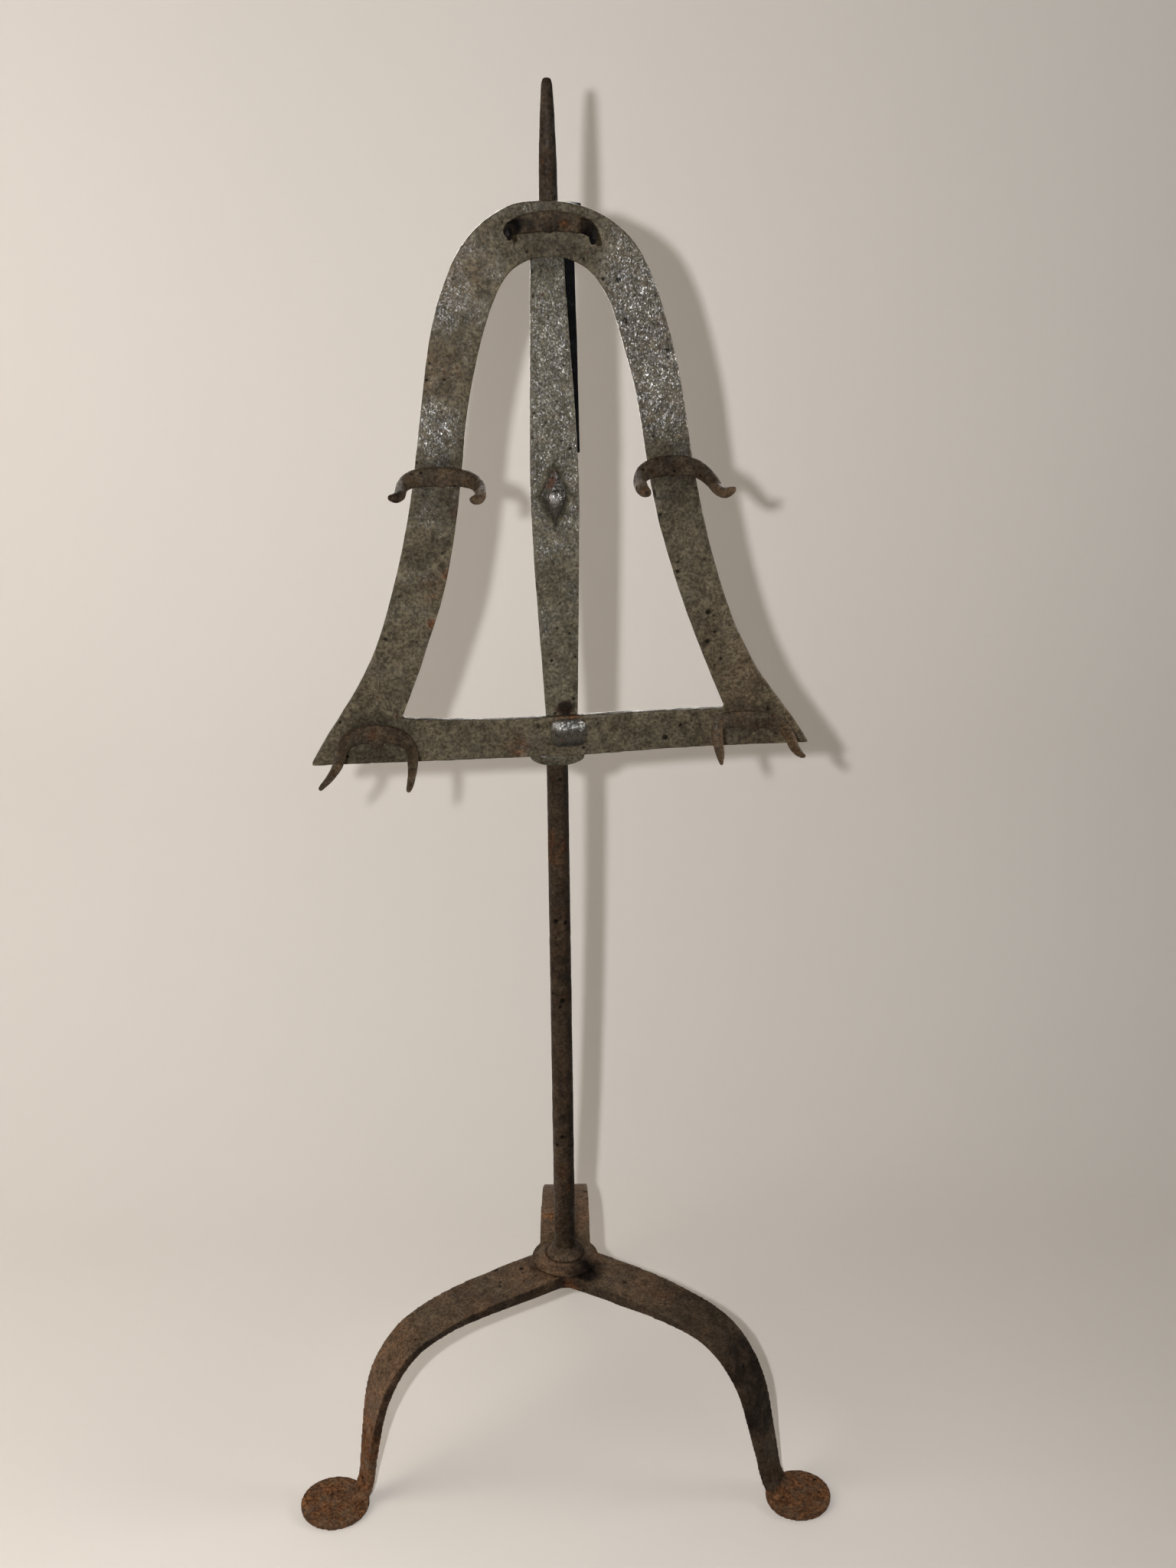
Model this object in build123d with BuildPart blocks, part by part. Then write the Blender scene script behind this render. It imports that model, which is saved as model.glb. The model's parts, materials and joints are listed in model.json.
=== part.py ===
from build123d import *
import math
import os

# Standing hearth roaster in wrought iron: a bell shaped hook frame that slides and
# turns on a round upright, carried by three cabriole legs on penny feet.
# Millimetres. +Z up. Origin on the floor under the upright. -Y is the front,
# two legs point to the front left and front right, the third to the back.

os.makedirs("parts", exist_ok=True)


def save(part, name):
    part.label = name
    export_step(part, f"parts/{name}.step")


# ---------------------------------------------------------------- shared sizes
# hub, where the legs and the upright meet
HUB_TOP_Z = 120.8         # top of the front bar
HUB_THICK = 9.0
EYE_DISC_R = 20.5         # round end of the rear leg
EYE_DISC_T = 4.2
TENON_R = 5.0
RUN = 0.05                # clearance at the upright's tenon, shoulder and head
TENON_CUT_Z = 100.0       # the hole cutter starts below the hub and ends above it
TENON_CUT_H = 40.0
FOOT_T = 4.0
FLOOR_SIZE = 500.0        # square block that trims whatever lies below the floor
FLOOR_DEPTH = 20.0

# frame layers, measured to the front from the upright's axis
BAR_T = 4.5               # arch and crossbar
CENTRE_BACK = 10.5        # back of the centre bar
ARCH_BACK = 14.5          # back of the arch, front of the centre bar
ARCH_FRONT = ARCH_BACK + BAR_T
STRAP_T = 4.4             # flat middle of a hook
HOOK_FRONT = ARCH_FRONT + STRAP_T
LEAF_T = 2.6              # spring leaf
LEAF_BACK = CENTRE_BACK - LEAF_T

# rivets of the frame: (across, height)
HOOK_RIVETS = {"top": (-1.4, 740.4), "left": (-59.0, 616.4), "right": (60.2, 618.9),
               "lower_left": (-98.6, 475.9), "lower_right": (105.6, 477.6)}
CROSS_RIVET = (5.1, 476.3)
SPRING_RIVET = (0.0, 605.3)
HOOK_SHANK_R = 2.4
CROSS_SHANK_R = 3.6
SPRING_SHANK_R = 2.9
SHANK_CLEAR = 0.05
HOOK_HOLE_R = HOOK_SHANK_R + SHANK_CLEAR
CROSS_HOLE_R = CROSS_SHANK_R + SHANK_CLEAR
SPRING_HOLE_R = SPRING_SHANK_R + SHANK_CLEAR

# ---------------------------------------------------------------- frame planes
FRAME_TURN = math.radians(3.5)    # the frame stands turned this far on the upright
TO_RIGHT = Vector(math.cos(FRAME_TURN), math.sin(FRAME_TURN), 0)
TO_FRONT = Vector(math.sin(FRAME_TURN), -math.cos(FRAME_TURN), 0)
FRAME = Plane(origin=(0, 0, 0), x_dir=TO_RIGHT, z_dir=TO_FRONT)       # (across, height)
SIDE = Plane(origin=(0, 0, 0), x_dir=TO_FRONT, z_dir=TO_RIGHT * -1)   # (to the front, height)
PLAN = Plane(origin=(0, 0, 0), x_dir=TO_RIGHT, z_dir=(0, 0, 1))       # (across, to the back)
FRONT_AXIS = Axis((0, 0, 0), TO_FRONT)

# ---------------------------------------------------------------- leg bars
LEFT_AZIMUTH = 210
RIGHT_AZIMUTH = 330
REAR_AZIMUTH = 89.5
LEG_CUT = 200             # reach of the cross outline, past the toe


def inner_curve(stations):
    """Points on the underside of a bent bar, square to its outer face."""
    points = []
    last = len(stations) - 1
    for i, (radius, z, thick) in enumerate(stations):
        radius_before, z_before, _ = stations[max(i - 1, 0)]
        radius_after, z_after, _ = stations[min(i + 1, last)]
        run, rise = radius_after - radius_before, z_after - z_before
        length = math.hypot(run, rise)
        points.append((radius + rise / length * thick, z - run / length * thick))
    return points


def leg_bar(azimuth, stations, half_widths, blank_half_width):
    """Bent bar: its side profile, trimmed to its outline seen from the end."""
    angle = math.radians(azimuth)
    outward = Vector(math.cos(angle), math.sin(angle), 0)
    sideways = Vector(math.sin(angle), -math.cos(angle), 0)
    profile_plane = Plane(origin=(0, 0, 0), x_dir=outward, z_dir=sideways)
    cross_plane = Plane(origin=(0, 0, 0), x_dir=sideways * -1, z_dir=outward)
    with BuildPart() as bar:
        with BuildSketch(profile_plane):
            with BuildLine():
                outer = Spline(*[(radius, z) for radius, z, _ in stations])
                inner = Spline(*inner_curve(stations))
                Line(outer @ 0, inner @ 0)
                Line(outer @ 1, inner @ 1)
            make_face()
        extrude(amount=blank_half_width, both=True)
        with BuildSketch(cross_plane):
            with BuildLine():
                edge = Spline(*[(half, z) for z, half in half_widths])
                mirrored = Spline(*[(-half, z) for z, half in half_widths])
                Line(edge @ 0, mirrored @ 0)
                Line(edge @ 1, mirrored @ 1)
            make_face()
        extrude(amount=LEG_CUT, both=True, mode=Mode.INTERSECT)
    return bar.part


# ---------------------------------------------------------------- front legs
# stations from hub to toe: (radius, height of the outer face, thickness)
LEFT_BAR = [
    (-9.0, 120.8, 9.0), (8.0, 120.8, 9.0), (25.0, 120.4, 8.9), (45.0, 119.7, 8.0),
    (60.0, 119.0, 7.0), (72.0, 117.9, 6.2), (82.0, 116.5, 5.7), (92.0, 114.3, 5.4),
    (102.0, 111.0, 5.3), (111.2, 106.4, 5.3), (118.0, 100.7, 5.4), (123.2, 94.9, 5.5),
    (127.5, 88.6, 5.6), (131.0, 81.7, 5.6), (134.8, 71.0, 5.5), (137.7, 58.1, 5.4),
    (140.4, 42.5, 5.3), (142.5, 28.0, 5.2), (144.2, 17.0, 5.2), (147.2, 9.5, 5.0),
    (152.5, 5.2, 4.6)]
RIGHT_BAR = [
    (-9.0, 120.8, 9.0), (8.0, 120.8, 9.0), (28.0, 120.6, 9.0), (46.8, 119.6, 8.6),
    (60.0, 118.4, 7.6), (74.6, 116.0, 6.4), (86.0, 113.8, 5.8), (95.4, 111.1, 5.3),
    (104.0, 107.5, 5.3), (112.0, 102.0, 5.5), (118.0, 96.0, 5.7), (122.8, 89.6, 5.9),
    (127.0, 82.8, 6.0), (130.4, 75.8, 6.0), (134.2, 64.0, 6.0), (137.2, 50.8, 6.0),
    (140.6, 36.0, 5.9), (143.8, 21.0, 5.8), (145.6, 13.5, 5.6), (148.6, 8.2, 5.2),
    (153.5, 5.0, 4.6)]
# (height, half width)
LEFT_HALF = [(130.0, 15.1), (112.0, 14.6), (105.0, 13.7), (95.0, 12.9), (82.0, 11.8),
             (70.0, 10.6), (58.0, 9.1), (45.0, 7.9), (30.0, 6.8), (16.0, 6.3), (0.0, 6.3)]
RIGHT_HALF = [(130.0, 15.1), (112.0, 14.7), (105.0, 14.1), (95.0, 13.6), (82.0, 12.9),
              (70.0, 12.4), (58.0, 12.1), (45.0, 11.0), (30.0, 9.8), (16.0, 9.0), (0.0, 9.0)]
FRONT_BLANK_HALF = 20
# (centre x, centre y), radius
LEFT_FOOT = ((-142.1, -76.5), 20.6)
RIGHT_FOOT = ((139.4, -78.7), 19.6)
WEB_R = 18.8
WEB_T = HUB_THICK - 2.0
SEAT_R = 70
SEAT_CUT_H = 5

left_bar = leg_bar(LEFT_AZIMUTH, LEFT_BAR, LEFT_HALF, FRONT_BLANK_HALF)
right_bar = leg_bar(RIGHT_AZIMUTH, RIGHT_BAR, RIGHT_HALF, FRONT_BLANK_HALF)
with BuildPart() as front_legs:
    add(left_bar)
    add(right_bar)
    # thick web in the fork of the two legs
    with BuildSketch(Plane.XY.offset(HUB_TOP_Z - HUB_THICK)):
        Circle(WEB_R)
    extrude(amount=WEB_T)
    # penny feet, hammered out flat from the ends of the bar
    with BuildSketch(Plane.XY):
        for centre, radius in (LEFT_FOOT, RIGHT_FOOT):
            with Locations(centre):
                Circle(radius)
    extrude(amount=FOOT_T)
    # everything stands on the floor
    with BuildSketch(Plane.XY):
        Rectangle(FLOOR_SIZE, FLOOR_SIZE)
    extrude(amount=-FLOOR_DEPTH, mode=Mode.SUBTRACT)
    # seat for the eye of the rear leg
    with BuildSketch(Plane.XY.offset(HUB_TOP_Z)):
        Circle(SEAT_R)
    extrude(amount=SEAT_CUT_H, mode=Mode.SUBTRACT)
    # hole for the tenon of the upright
    with BuildSketch(Plane.XY.offset(TENON_CUT_Z)):
        Circle(TENON_R + RUN)
    extrude(amount=TENON_CUT_H, mode=Mode.SUBTRACT)
save(front_legs.part, "front_legs")

# ---------------------------------------------------------------- rear leg
# stations and half widths as for the front legs
REAR_BAR = [
    (0.0, 125.0, 4.2), (10.0, 125.0, 4.2), (22.0, 125.0, 4.3), (40.0, 124.6, 6.0),
    (60.0, 122.4, 6.4), (80.0, 117.8, 6.5), (90.0, 114.0, 6.5), (98.0, 109.6, 6.5),
    (106.0, 102.9, 6.5), (113.0, 94.0, 6.4), (119.0, 83.5, 6.4), (125.5, 69.0, 6.2),
    (131.0, 54.0, 6.0), (136.5, 38.0, 5.8), (141.0, 24.0, 5.6), (144.2, 14.5, 5.5),
    (148.0, 8.5, 5.2), (153.5, 5.0, 4.8)]
REAR_HALF = [(130.0, 16.1), (118.0, 15.2), (108.0, 14.4), (95.0, 13.9), (82.0, 13.0),
             (70.0, 12.0), (58.0, 10.8), (45.0, 9.6), (30.0, 8.4), (16.0, 7.8), (0.0, 7.8)]
REAR_BLANK_HALF = 22
REAR_FOOT_CENTRE = (1.0, 161.0)
REAR_FOOT_R = 20.4
EYE_TOP_Z = HUB_TOP_Z + EYE_DISC_T
EYE_RIM_H = 1.4           # bevel around the top of the eye
EYE_RIM_W = 1.6
ABOVE_EYE_R = 60
ABOVE_EYE_H = 5
UNDER_EYE_R = EYE_DISC_R - 0.5
UNDER_EYE_H = 14

rear_bar = leg_bar(REAR_AZIMUTH, REAR_BAR, REAR_HALF, REAR_BLANK_HALF)
with BuildPart() as rear_leg:
    add(rear_bar)
    # round eye on top of the front bar, its rim hammered down
    with BuildSketch(Plane.XY.offset(HUB_TOP_Z)):
        Circle(EYE_DISC_R)
    extrude(amount=EYE_DISC_T - EYE_RIM_H)
    with BuildSketch(Plane.XY.offset(EYE_TOP_Z - EYE_RIM_H)):
        Circle(EYE_DISC_R)
    with BuildSketch(Plane.XY.offset(EYE_TOP_Z)):
        Circle(EYE_DISC_R - EYE_RIM_W)
    loft()
    # penny foot
    with BuildSketch(Plane.XY):
        with Locations(REAR_FOOT_CENTRE):
            Circle(REAR_FOOT_R)
    extrude(amount=FOOT_T)
    with BuildSketch(Plane.XY):
        Rectangle(FLOOR_SIZE, FLOOR_SIZE)
    extrude(amount=-FLOOR_DEPTH, mode=Mode.SUBTRACT)
    # the tenon hole, then a flat top on the eye, then
    # a flat underside where the eye lies on the front bar
    for z, radius, height in ((TENON_CUT_Z, TENON_R + RUN, TENON_CUT_H),
                              (EYE_TOP_Z, ABOVE_EYE_R, ABOVE_EYE_H),
                              (HUB_TOP_Z, UNDER_EYE_R, -UNDER_EYE_H)):
        with BuildSketch(Plane.XY.offset(z)):
            Circle(radius)
        extrude(amount=height, mode=Mode.SUBTRACT)
save(rear_leg.part, "rear_leg")

# ---------------------------------------------------------------- upright
# (radius, height) from the collar to the tip
ROD_SHAPE = [(6.5, 131.4), (6.42, 175.0), (6.35, 225.0), (6.3, 275.0), (6.25, 325.0),
             (6.18, 380.0), (6.06, 440.0), (5.85, 500.0), (5.6, 555.0), (5.36, 610.0),
             (5.12, 660.0), (4.95, 705.0), (4.83, 745.0), (4.6, 764.0), (4.25, 777.0),
             (3.8, 788.0), (3.3, 798.0), (2.75, 805.0)]
ROD_TIP_Z = 807.6
COLLAR_R = 11.5
TENON_HEAD_R = 8.5
HEAD_TOP = HUB_TOP_Z - HUB_THICK - RUN
HEAD_BOTTOM = HEAD_TOP - 4.2
HEAD_FLAT_R = 3.0
SHOULDER_Z = EYE_TOP_Z + RUN
COLLAR_TOP = (COLLAR_R, SHOULDER_Z + 1.6)

with BuildPart() as upright_rod:
    with BuildSketch(Plane.XZ):
        with BuildLine():
            # riveted head under the hub
            Line((0, HEAD_BOTTOM), (HEAD_FLAT_R, HEAD_BOTTOM))
            ThreePointArc((HEAD_FLAT_R, HEAD_BOTTOM), (6.8, HEAD_TOP - 2.9),
                          (TENON_HEAD_R, HEAD_TOP - 0.6))
            # tenon and collar
            Polyline((TENON_HEAD_R, HEAD_TOP - 0.6), (TENON_HEAD_R - 0.3, HEAD_TOP),
                     (TENON_R, HEAD_TOP), (TENON_R, SHOULDER_Z), (COLLAR_R - 0.4, SHOULDER_Z),
                     (COLLAR_R, SHOULDER_Z + 0.5), COLLAR_TOP)
            ThreePointArc(COLLAR_TOP, (9.6, SHOULDER_Z + 3.9), ROD_SHAPE[0])
            # rod and blunt tip
            Polyline(*ROD_SHAPE)
            Polyline(ROD_SHAPE[-1], (2.0, ROD_TIP_Z - 0.5), (0.9, ROD_TIP_Z), (0, ROD_TIP_Z),
                     (0, HEAD_BOTTOM))
        make_face()
    revolve(axis=Axis.Z)
save(upright_rod.part, "upright_rod")

# ---------------------------------------------------------------- bell arch
# (across, height), both edges from the left end over the top to the right end
OUTER_EDGE = [
    (-134.4, 462.0), (-123.9, 479.6), (-112.6, 496.5), (-102.7, 513.3), (-95.1, 530.0),
    (-89.4, 546.6), (-84.6, 563.0), (-80.3, 579.2), (-76.6, 595.2), (-73.6, 611.0),
    (-71.1, 626.8), (-68.8, 642.3), (-66.5, 657.6), (-64.2, 672.8), (-61.4, 687.7),
    (-57.6, 702.3), (-52.3, 716.3), (-45.1, 729.9), (-37.2, 738.9), (-28.6, 745.4),
    (-19.2, 749.9), (-8.0, 751.5), (3.0, 751.3), (14.0, 749.2), (24.0, 745.3),
    (32.6, 739.8), (39.6, 733.4), (45.8, 724.3), (50.2, 715.2), (55.4, 700.5),
    (59.9, 685.4), (63.7, 670.1), (66.5, 654.7), (69.0, 639.1), (71.6, 623.2),
    (74.6, 607.0), (78.1, 590.9), (82.3, 574.4), (87.2, 557.7), (93.0, 540.7),
    (100.5, 523.4), (110.1, 505.8), (122.8, 487.8), (137.8, 465.2)]
INNER_EDGE = [
    (-84.4, 487.2), (-81.2, 495.6), (-74.5, 512.3), (-68.4, 529.1), (-62.6, 545.7),
    (-57.8, 562.1), (-54.2, 578.4), (-51.3, 594.5), (-49.0, 610.4), (-47.0, 626.2),
    (-45.2, 641.7), (-42.7, 657.1), (-39.3, 672.3), (-35.2, 687.2), (-30.0, 702.0),
    (-23.6, 714.6), (-17.4, 720.7), (-9.6, 724.2), (0.6, 725.1), (10.6, 723.0),
    (18.4, 718.2), (24.4, 711.0), (29.7, 700.9), (34.5, 685.9), (38.9, 670.7),
    (42.5, 655.3), (45.2, 639.7), (47.6, 623.9), (50.4, 607.8), (53.9, 591.6),
    (58.4, 575.2), (63.5, 558.4), (69.3, 541.5), (75.7, 524.3), (82.6, 506.8),
    (91.0, 486.7)]
# slanted joints between arch and crossbar: (upper end, lower end)
SCARF_LEFT = (INNER_EDGE[0], (-73.0, 462.2))
SCARF_RIGHT = (INNER_EDGE[-1], (81.0, 464.9))

with BuildPart() as bell_arch:
    with BuildSketch(FRAME.offset(ARCH_BACK)):
        with BuildLine():
            Spline(*OUTER_EDGE)
            Spline(*INNER_EDGE)
            Line(*SCARF_LEFT)
            Line(SCARF_LEFT[1], OUTER_EDGE[0])
            Line(*SCARF_RIGHT)
            Line(SCARF_RIGHT[1], OUTER_EDGE[-1])
        make_face()
        with Locations(*HOOK_RIVETS.values()):
            Circle(HOOK_HOLE_R, mode=Mode.SUBTRACT)
    extrude(amount=BAR_T)
save(bell_arch.part, "bell_arch")

# ---------------------------------------------------------------- crossbar
# (across, height) from left to right, between the two scarf joints
CROSS_TOP = [SCARF_LEFT[0], (-53.6, 485.2), (-28.9, 484.6), (-6.9, 484.9), (15.0, 485.5),
             (37.6, 486.1), (62.7, 486.5), SCARF_RIGHT[0]]
CROSS_LOW = [SCARF_LEFT[1], (-50.0, 462.1), (-16.0, 462.3), (15.0, 462.7), (37.6, 463.6),
             (62.9, 464.6), SCARF_RIGHT[1]]

with BuildPart() as crossbar:
    with BuildSketch(FRAME.offset(ARCH_BACK)):
        with BuildLine():
            Spline(*CROSS_TOP)
            Spline(*CROSS_LOW)
            Line(*SCARF_LEFT)
            Line(*SCARF_RIGHT)
        make_face()
        with Locations(CROSS_RIVET):
            Circle(CROSS_HOLE_R, mode=Mode.SUBTRACT)
    extrude(amount=BAR_T)
save(crossbar.part, "crossbar")

# ---------------------------------------------------------------- centre bar with lower eye
# (across, height) from top to bottom
CENTRE_LEFT = [
    (-9.6, 746.0), (-10.4, 723.3), (-11.0, 693.7), (-11.7, 663.4), (-12.4, 624.5),
    (-12.4, 600.5), (-12.0, 584.3), (-11.3, 567.8), (-10.4, 551.2), (-9.5, 534.3),
    (-8.4, 517.2), (-7.5, 499.8), (-6.4, 480.0), (-5.6, 462.2)]
CENTRE_RIGHT = [
    (6.0, 746.0), (6.7, 723.0), (7.8, 700.5), (9.0, 683.2), (10.4, 661.4), (12.1, 631.8),
    (12.9, 607.9), (12.6, 583.6), (12.1, 550.4), (11.5, 516.5), (10.9, 488.2), (10.6, 462.2)]
LOWER_EYE_R = 15.2
LOWER_EYE_BORE_R = 6.75
LOWER_EYE_Z = 455.2       # underside
LOWER_EYE_T = 4.2
LOWER_BORE_H = 12
NECK_X = 2.9              # neck joining the bar to the eye
NECK_W = 17.0
NECK_DEPTH = 7.0
NECK_H = 4.2
NECK_SINK = 1.0           # how far the neck starts inside the eye
COUNTERSINK_R = HOOK_SHANK_R + 1.2
COUNTERSINK_DEPTH = 1.3

with BuildPart() as centre_bar:
    with BuildSketch(FRAME.offset(CENTRE_BACK)):
        with BuildLine():
            left_edge = Spline(*CENTRE_LEFT)
            right_edge = Spline(*CENTRE_RIGHT)
            Line(left_edge @ 0, right_edge @ 0)
            Line(left_edge @ 1, right_edge @ 1)
        make_face()
        for centre, radius in ((SPRING_RIVET, SPRING_HOLE_R), (CROSS_RIVET, CROSS_HOLE_R),
                               (HOOK_RIVETS["top"], HOOK_HOLE_R)):
            with Locations(centre):
                Circle(radius, mode=Mode.SUBTRACT)
    extrude(amount=ARCH_BACK - CENTRE_BACK)
    # the end is turned back under the crossbar and drifted into a round eye
    with BuildSketch(Plane.XY.offset(LOWER_EYE_Z)):
        Circle(LOWER_EYE_R)
    extrude(amount=LOWER_EYE_T)
    with BuildSketch(PLAN.offset(LOWER_EYE_Z + LOWER_EYE_T - NECK_SINK)):
        Circle(ARCH_BACK)
        with Locations((NECK_X, NECK_DEPTH / 2 - ARCH_BACK)):
            Rectangle(NECK_W, NECK_DEPTH, mode=Mode.INTERSECT)
    extrude(amount=NECK_H)
    with BuildSketch(Plane.XY.offset(LOWER_EYE_Z - 1)):
        Circle(LOWER_EYE_BORE_R)
    extrude(amount=LOWER_BORE_H, mode=Mode.SUBTRACT)
    # countersink at the back for the flush tail of the top hook's rivet
    for depth, radius in ((0, COUNTERSINK_R), (COUNTERSINK_DEPTH, HOOK_SHANK_R)):
        with BuildSketch(FRAME.offset(CENTRE_BACK + depth)):
            with Locations(HOOK_RIVETS["top"]):
                Circle(radius)
    loft(mode=Mode.SUBTRACT)
save(centre_bar.part, "centre_bar")

# ---------------------------------------------------------------- spring leaf with upper eye
LEAF_FOOT_Z = 590.0
LEAF_BEND_Z = 628.0       # the leaf lies flat on the centre bar below this height
UPPER_EYE_R = 14.0
UPPER_EYE_SHIFT = 1.8     # the eye sits a little to the right
UPPER_EYE_BORE_R = 6.3
UPPER_EYE_TOP = 749.4
UPPER_EYE_LOW = UPPER_EYE_TOP - 3.2
EYE_BLANK_BACK = -20      # the eye's blank reaches this far past the axis
EYE_FRONT_DEPTH = 12.0    # straight sided part of the eye's plan
# bowed faces of the blade: (to the front, height), front face upwards, back face downwards
LEAF_FRONT_BOW = [(CENTRE_BACK, LEAF_BEND_Z), (9.9, 650.0), (9.4, 675.0), (9.2, 705.0),
                  (9.4, 744.0)]
LEAF_BACK_BOW = [(6.75, 743.6), (6.6, 705.0), (6.8, 675.0), (7.3, 650.0),
                 (LEAF_BACK, LEAF_BEND_Z)]
# front view (across, height): narrow riveted tail, wide blade, wider still at the eye
LEAF_OUTLINE = [
    (-7.5, 595.0), (-5.0, LEAF_FOOT_Z), (6.5, LEAF_FOOT_Z), (9.0, 595.0), (9.0, 626.3),
    (13.7, 626.3), (12.9, 682.5), (12.0, 723.0), (16.2, 744.0), (16.2, 752.0),
    (-16.2, 752.0), (-16.2, 744.0), (-9.2, 723.0), (-9.5, 626.3), (-7.5, 626.3),
    (-7.5, 595.0)]

with BuildPart() as spring_leaf:
    with BuildSketch(SIDE):
        with BuildLine():
            # front face, bowed back towards the upright above the rivet
            Line((CENTRE_BACK, LEAF_FOOT_Z), (CENTRE_BACK, LEAF_BEND_Z))
            Spline(*LEAF_FRONT_BOW, tangents=[(0, 1), (0, 1)])
            # the top is bent back over the upright
            ThreePointArc(LEAF_FRONT_BOW[-1], (7.6, 748.6), (3.4, UPPER_EYE_TOP))
            Polyline((3.4, UPPER_EYE_TOP), (EYE_BLANK_BACK, UPPER_EYE_TOP),
                     (EYE_BLANK_BACK, UPPER_EYE_LOW), (3.2, UPPER_EYE_LOW))
            ThreePointArc((3.2, UPPER_EYE_LOW), (5.7, 746.2), LEAF_BACK_BOW[0])
            Spline(*LEAF_BACK_BOW, tangents=[(0, -1), (0, -1)])
            Polyline((LEAF_BACK, LEAF_BEND_Z), (LEAF_BACK, LEAF_FOOT_Z),
                     (CENTRE_BACK, LEAF_FOOT_Z))
        make_face()
    extrude(amount=25, both=True)
    with BuildSketch(FRAME):
        with BuildLine():
            Polyline(*LEAF_OUTLINE)
        make_face()
    extrude(amount=40, both=True, mode=Mode.INTERSECT)
    # outline seen from above: the eye is rounded at the back
    with BuildSketch(PLAN):
        with Locations((UPPER_EYE_SHIFT, 0)):
            Circle(UPPER_EYE_R)
        with Locations((UPPER_EYE_SHIFT, -EYE_FRONT_DEPTH / 2)):
            Rectangle(2 * UPPER_EYE_R, EYE_FRONT_DEPTH)
    extrude(amount=800, mode=Mode.INTERSECT)
    # bore of the eye
    with BuildSketch(Plane.XY.offset(735)):
        Circle(UPPER_EYE_BORE_R)
    extrude(amount=20, mode=Mode.SUBTRACT)
    # rivet hole
    with BuildSketch(FRAME):
        with Locations(SPRING_RIVET):
            Circle(SPRING_HOLE_R)
    extrude(amount=20, mode=Mode.SUBTRACT)
save(spring_leaf.part, "spring_leaf")

# ---------------------------------------------------------------- diamond rove
ROVE_W = 15.4
ROVE_H = 30.0
ROVE_T = 3.6
ROVE_FRONT = ARCH_BACK + ROVE_T
ROVE_TOP_W = 0.26         # half width and half height of the front facet,
ROVE_TOP_H = 0.24         # as shares of the full width and height

with BuildPart() as diamond_rove:
    for front, half_w, half_h in ((ARCH_BACK, ROVE_W / 2, ROVE_H / 2),
                                  (ROVE_FRONT, ROVE_W * ROVE_TOP_W, ROVE_H * ROVE_TOP_H)):
        with BuildSketch(FRAME.offset(front)):
            with Locations(SPRING_RIVET):
                Polygon((0, half_h), (-half_w, 0), (0, -half_h), (half_w, 0), align=None)
    loft()
    with BuildSketch(FRAME.offset(ARCH_BACK)):
        with Locations(SPRING_RIVET):
            Circle(SPRING_HOLE_R)
    extrude(amount=ROVE_T, mode=Mode.SUBTRACT)
save(diamond_rove.part, "diamond_rove")


# ---------------------------------------------------------------- button-headed rivets
def button_rivet(centre, back, front, shank_r, head, tail):
    """Rivet with its shank from back to front.

    head: (radius, height, edge rounding)
    tail: (radius at the back face, end radius, distance of the end to the front of that face)
    """
    head_r, head_h, rounding = head
    tail_r, tail_end_r, tail_end = tail
    with BuildPart() as rivet:
        with BuildSketch(FRAME.offset(back)):
            with Locations(centre):
                Circle(shank_r)
        extrude(amount=front - back)
        with BuildSketch(FRAME.offset(front)):
            with Locations(centre):
                Circle(head_r)
        extrude(amount=head_h)
        fillet(edges().filter_by(GeomType.CIRCLE).sort_by(FRONT_AXIS)[-1], rounding)
        with BuildSketch(FRAME.offset(back)):
            with Locations(centre):
                Circle(tail_r)
        with BuildSketch(FRAME.offset(back + tail_end)):
            with Locations(centre):
                Circle(tail_end_r)
        loft()
    return rivet.part


# head on the rove, low tail behind the leaf
save(button_rivet(SPRING_RIVET, LEAF_BACK, ROVE_FRONT, SPRING_SHANK_R,
                  head=(3.8, 2.8, 2.4), tail=(4.2, 3.3, -1.1)), "spring_rivet")

for place, centre in HOOK_RIVETS.items():
    if place == "top":
        # hammered flush into the countersink of the centre bar
        back = CENTRE_BACK
        tail = (HOOK_SHANK_R + 1.1, HOOK_SHANK_R, 1.2)
    else:
        back = ARCH_BACK
        tail = (4.2, 3.0, -1.8)
    save(button_rivet(centre, back, HOOK_FRONT, HOOK_SHANK_R,
                      head=(3.9, 1.5, 1.3), tail=tail), "rivet_" + place)

# ---------------------------------------------------------------- square-headed crossbar rivet
CROSS_HEAD = (19.4, 15.4, 4.6)         # width, height, corner radius
CROSS_HEAD_TOP = (12.4, 8.8, 3.6)      # the same at the front of the bevel
CROSS_HEAD_SIDE = 2.4                  # straight part of the head
CROSS_HEAD_H = 5.2

with BuildPart() as crossbar_rivet:
    with BuildSketch(FRAME.offset(CENTRE_BACK)):
        with Locations(CROSS_RIVET):
            Circle(CROSS_SHANK_R)
    extrude(amount=ARCH_FRONT - CENTRE_BACK)
    with BuildSketch(FRAME.offset(ARCH_FRONT)):
        with Locations(CROSS_RIVET):
            RectangleRounded(*CROSS_HEAD)
    extrude(amount=CROSS_HEAD_SIDE)
    for height, size in ((CROSS_HEAD_SIDE, CROSS_HEAD), (CROSS_HEAD_H, CROSS_HEAD_TOP)):
        with BuildSketch(FRAME.offset(ARCH_FRONT + height)):
            with Locations(CROSS_RIVET):
                RectangleRounded(*size)
    loft()
    # tail behind the centre bar
    for height, radius in ((0, 5.4), (2.0, 4.2)):
        with BuildSketch(FRAME.offset(CENTRE_BACK - height)):
            with Locations(CROSS_RIVET):
                Circle(radius)
    loft()
save(crossbar_rivet.part, "crossbar_rivet")

# ---------------------------------------------------------------- hooks
STRAP_H = 9.4
STRAP_MID = ARCH_FRONT + STRAP_T / 2
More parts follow.
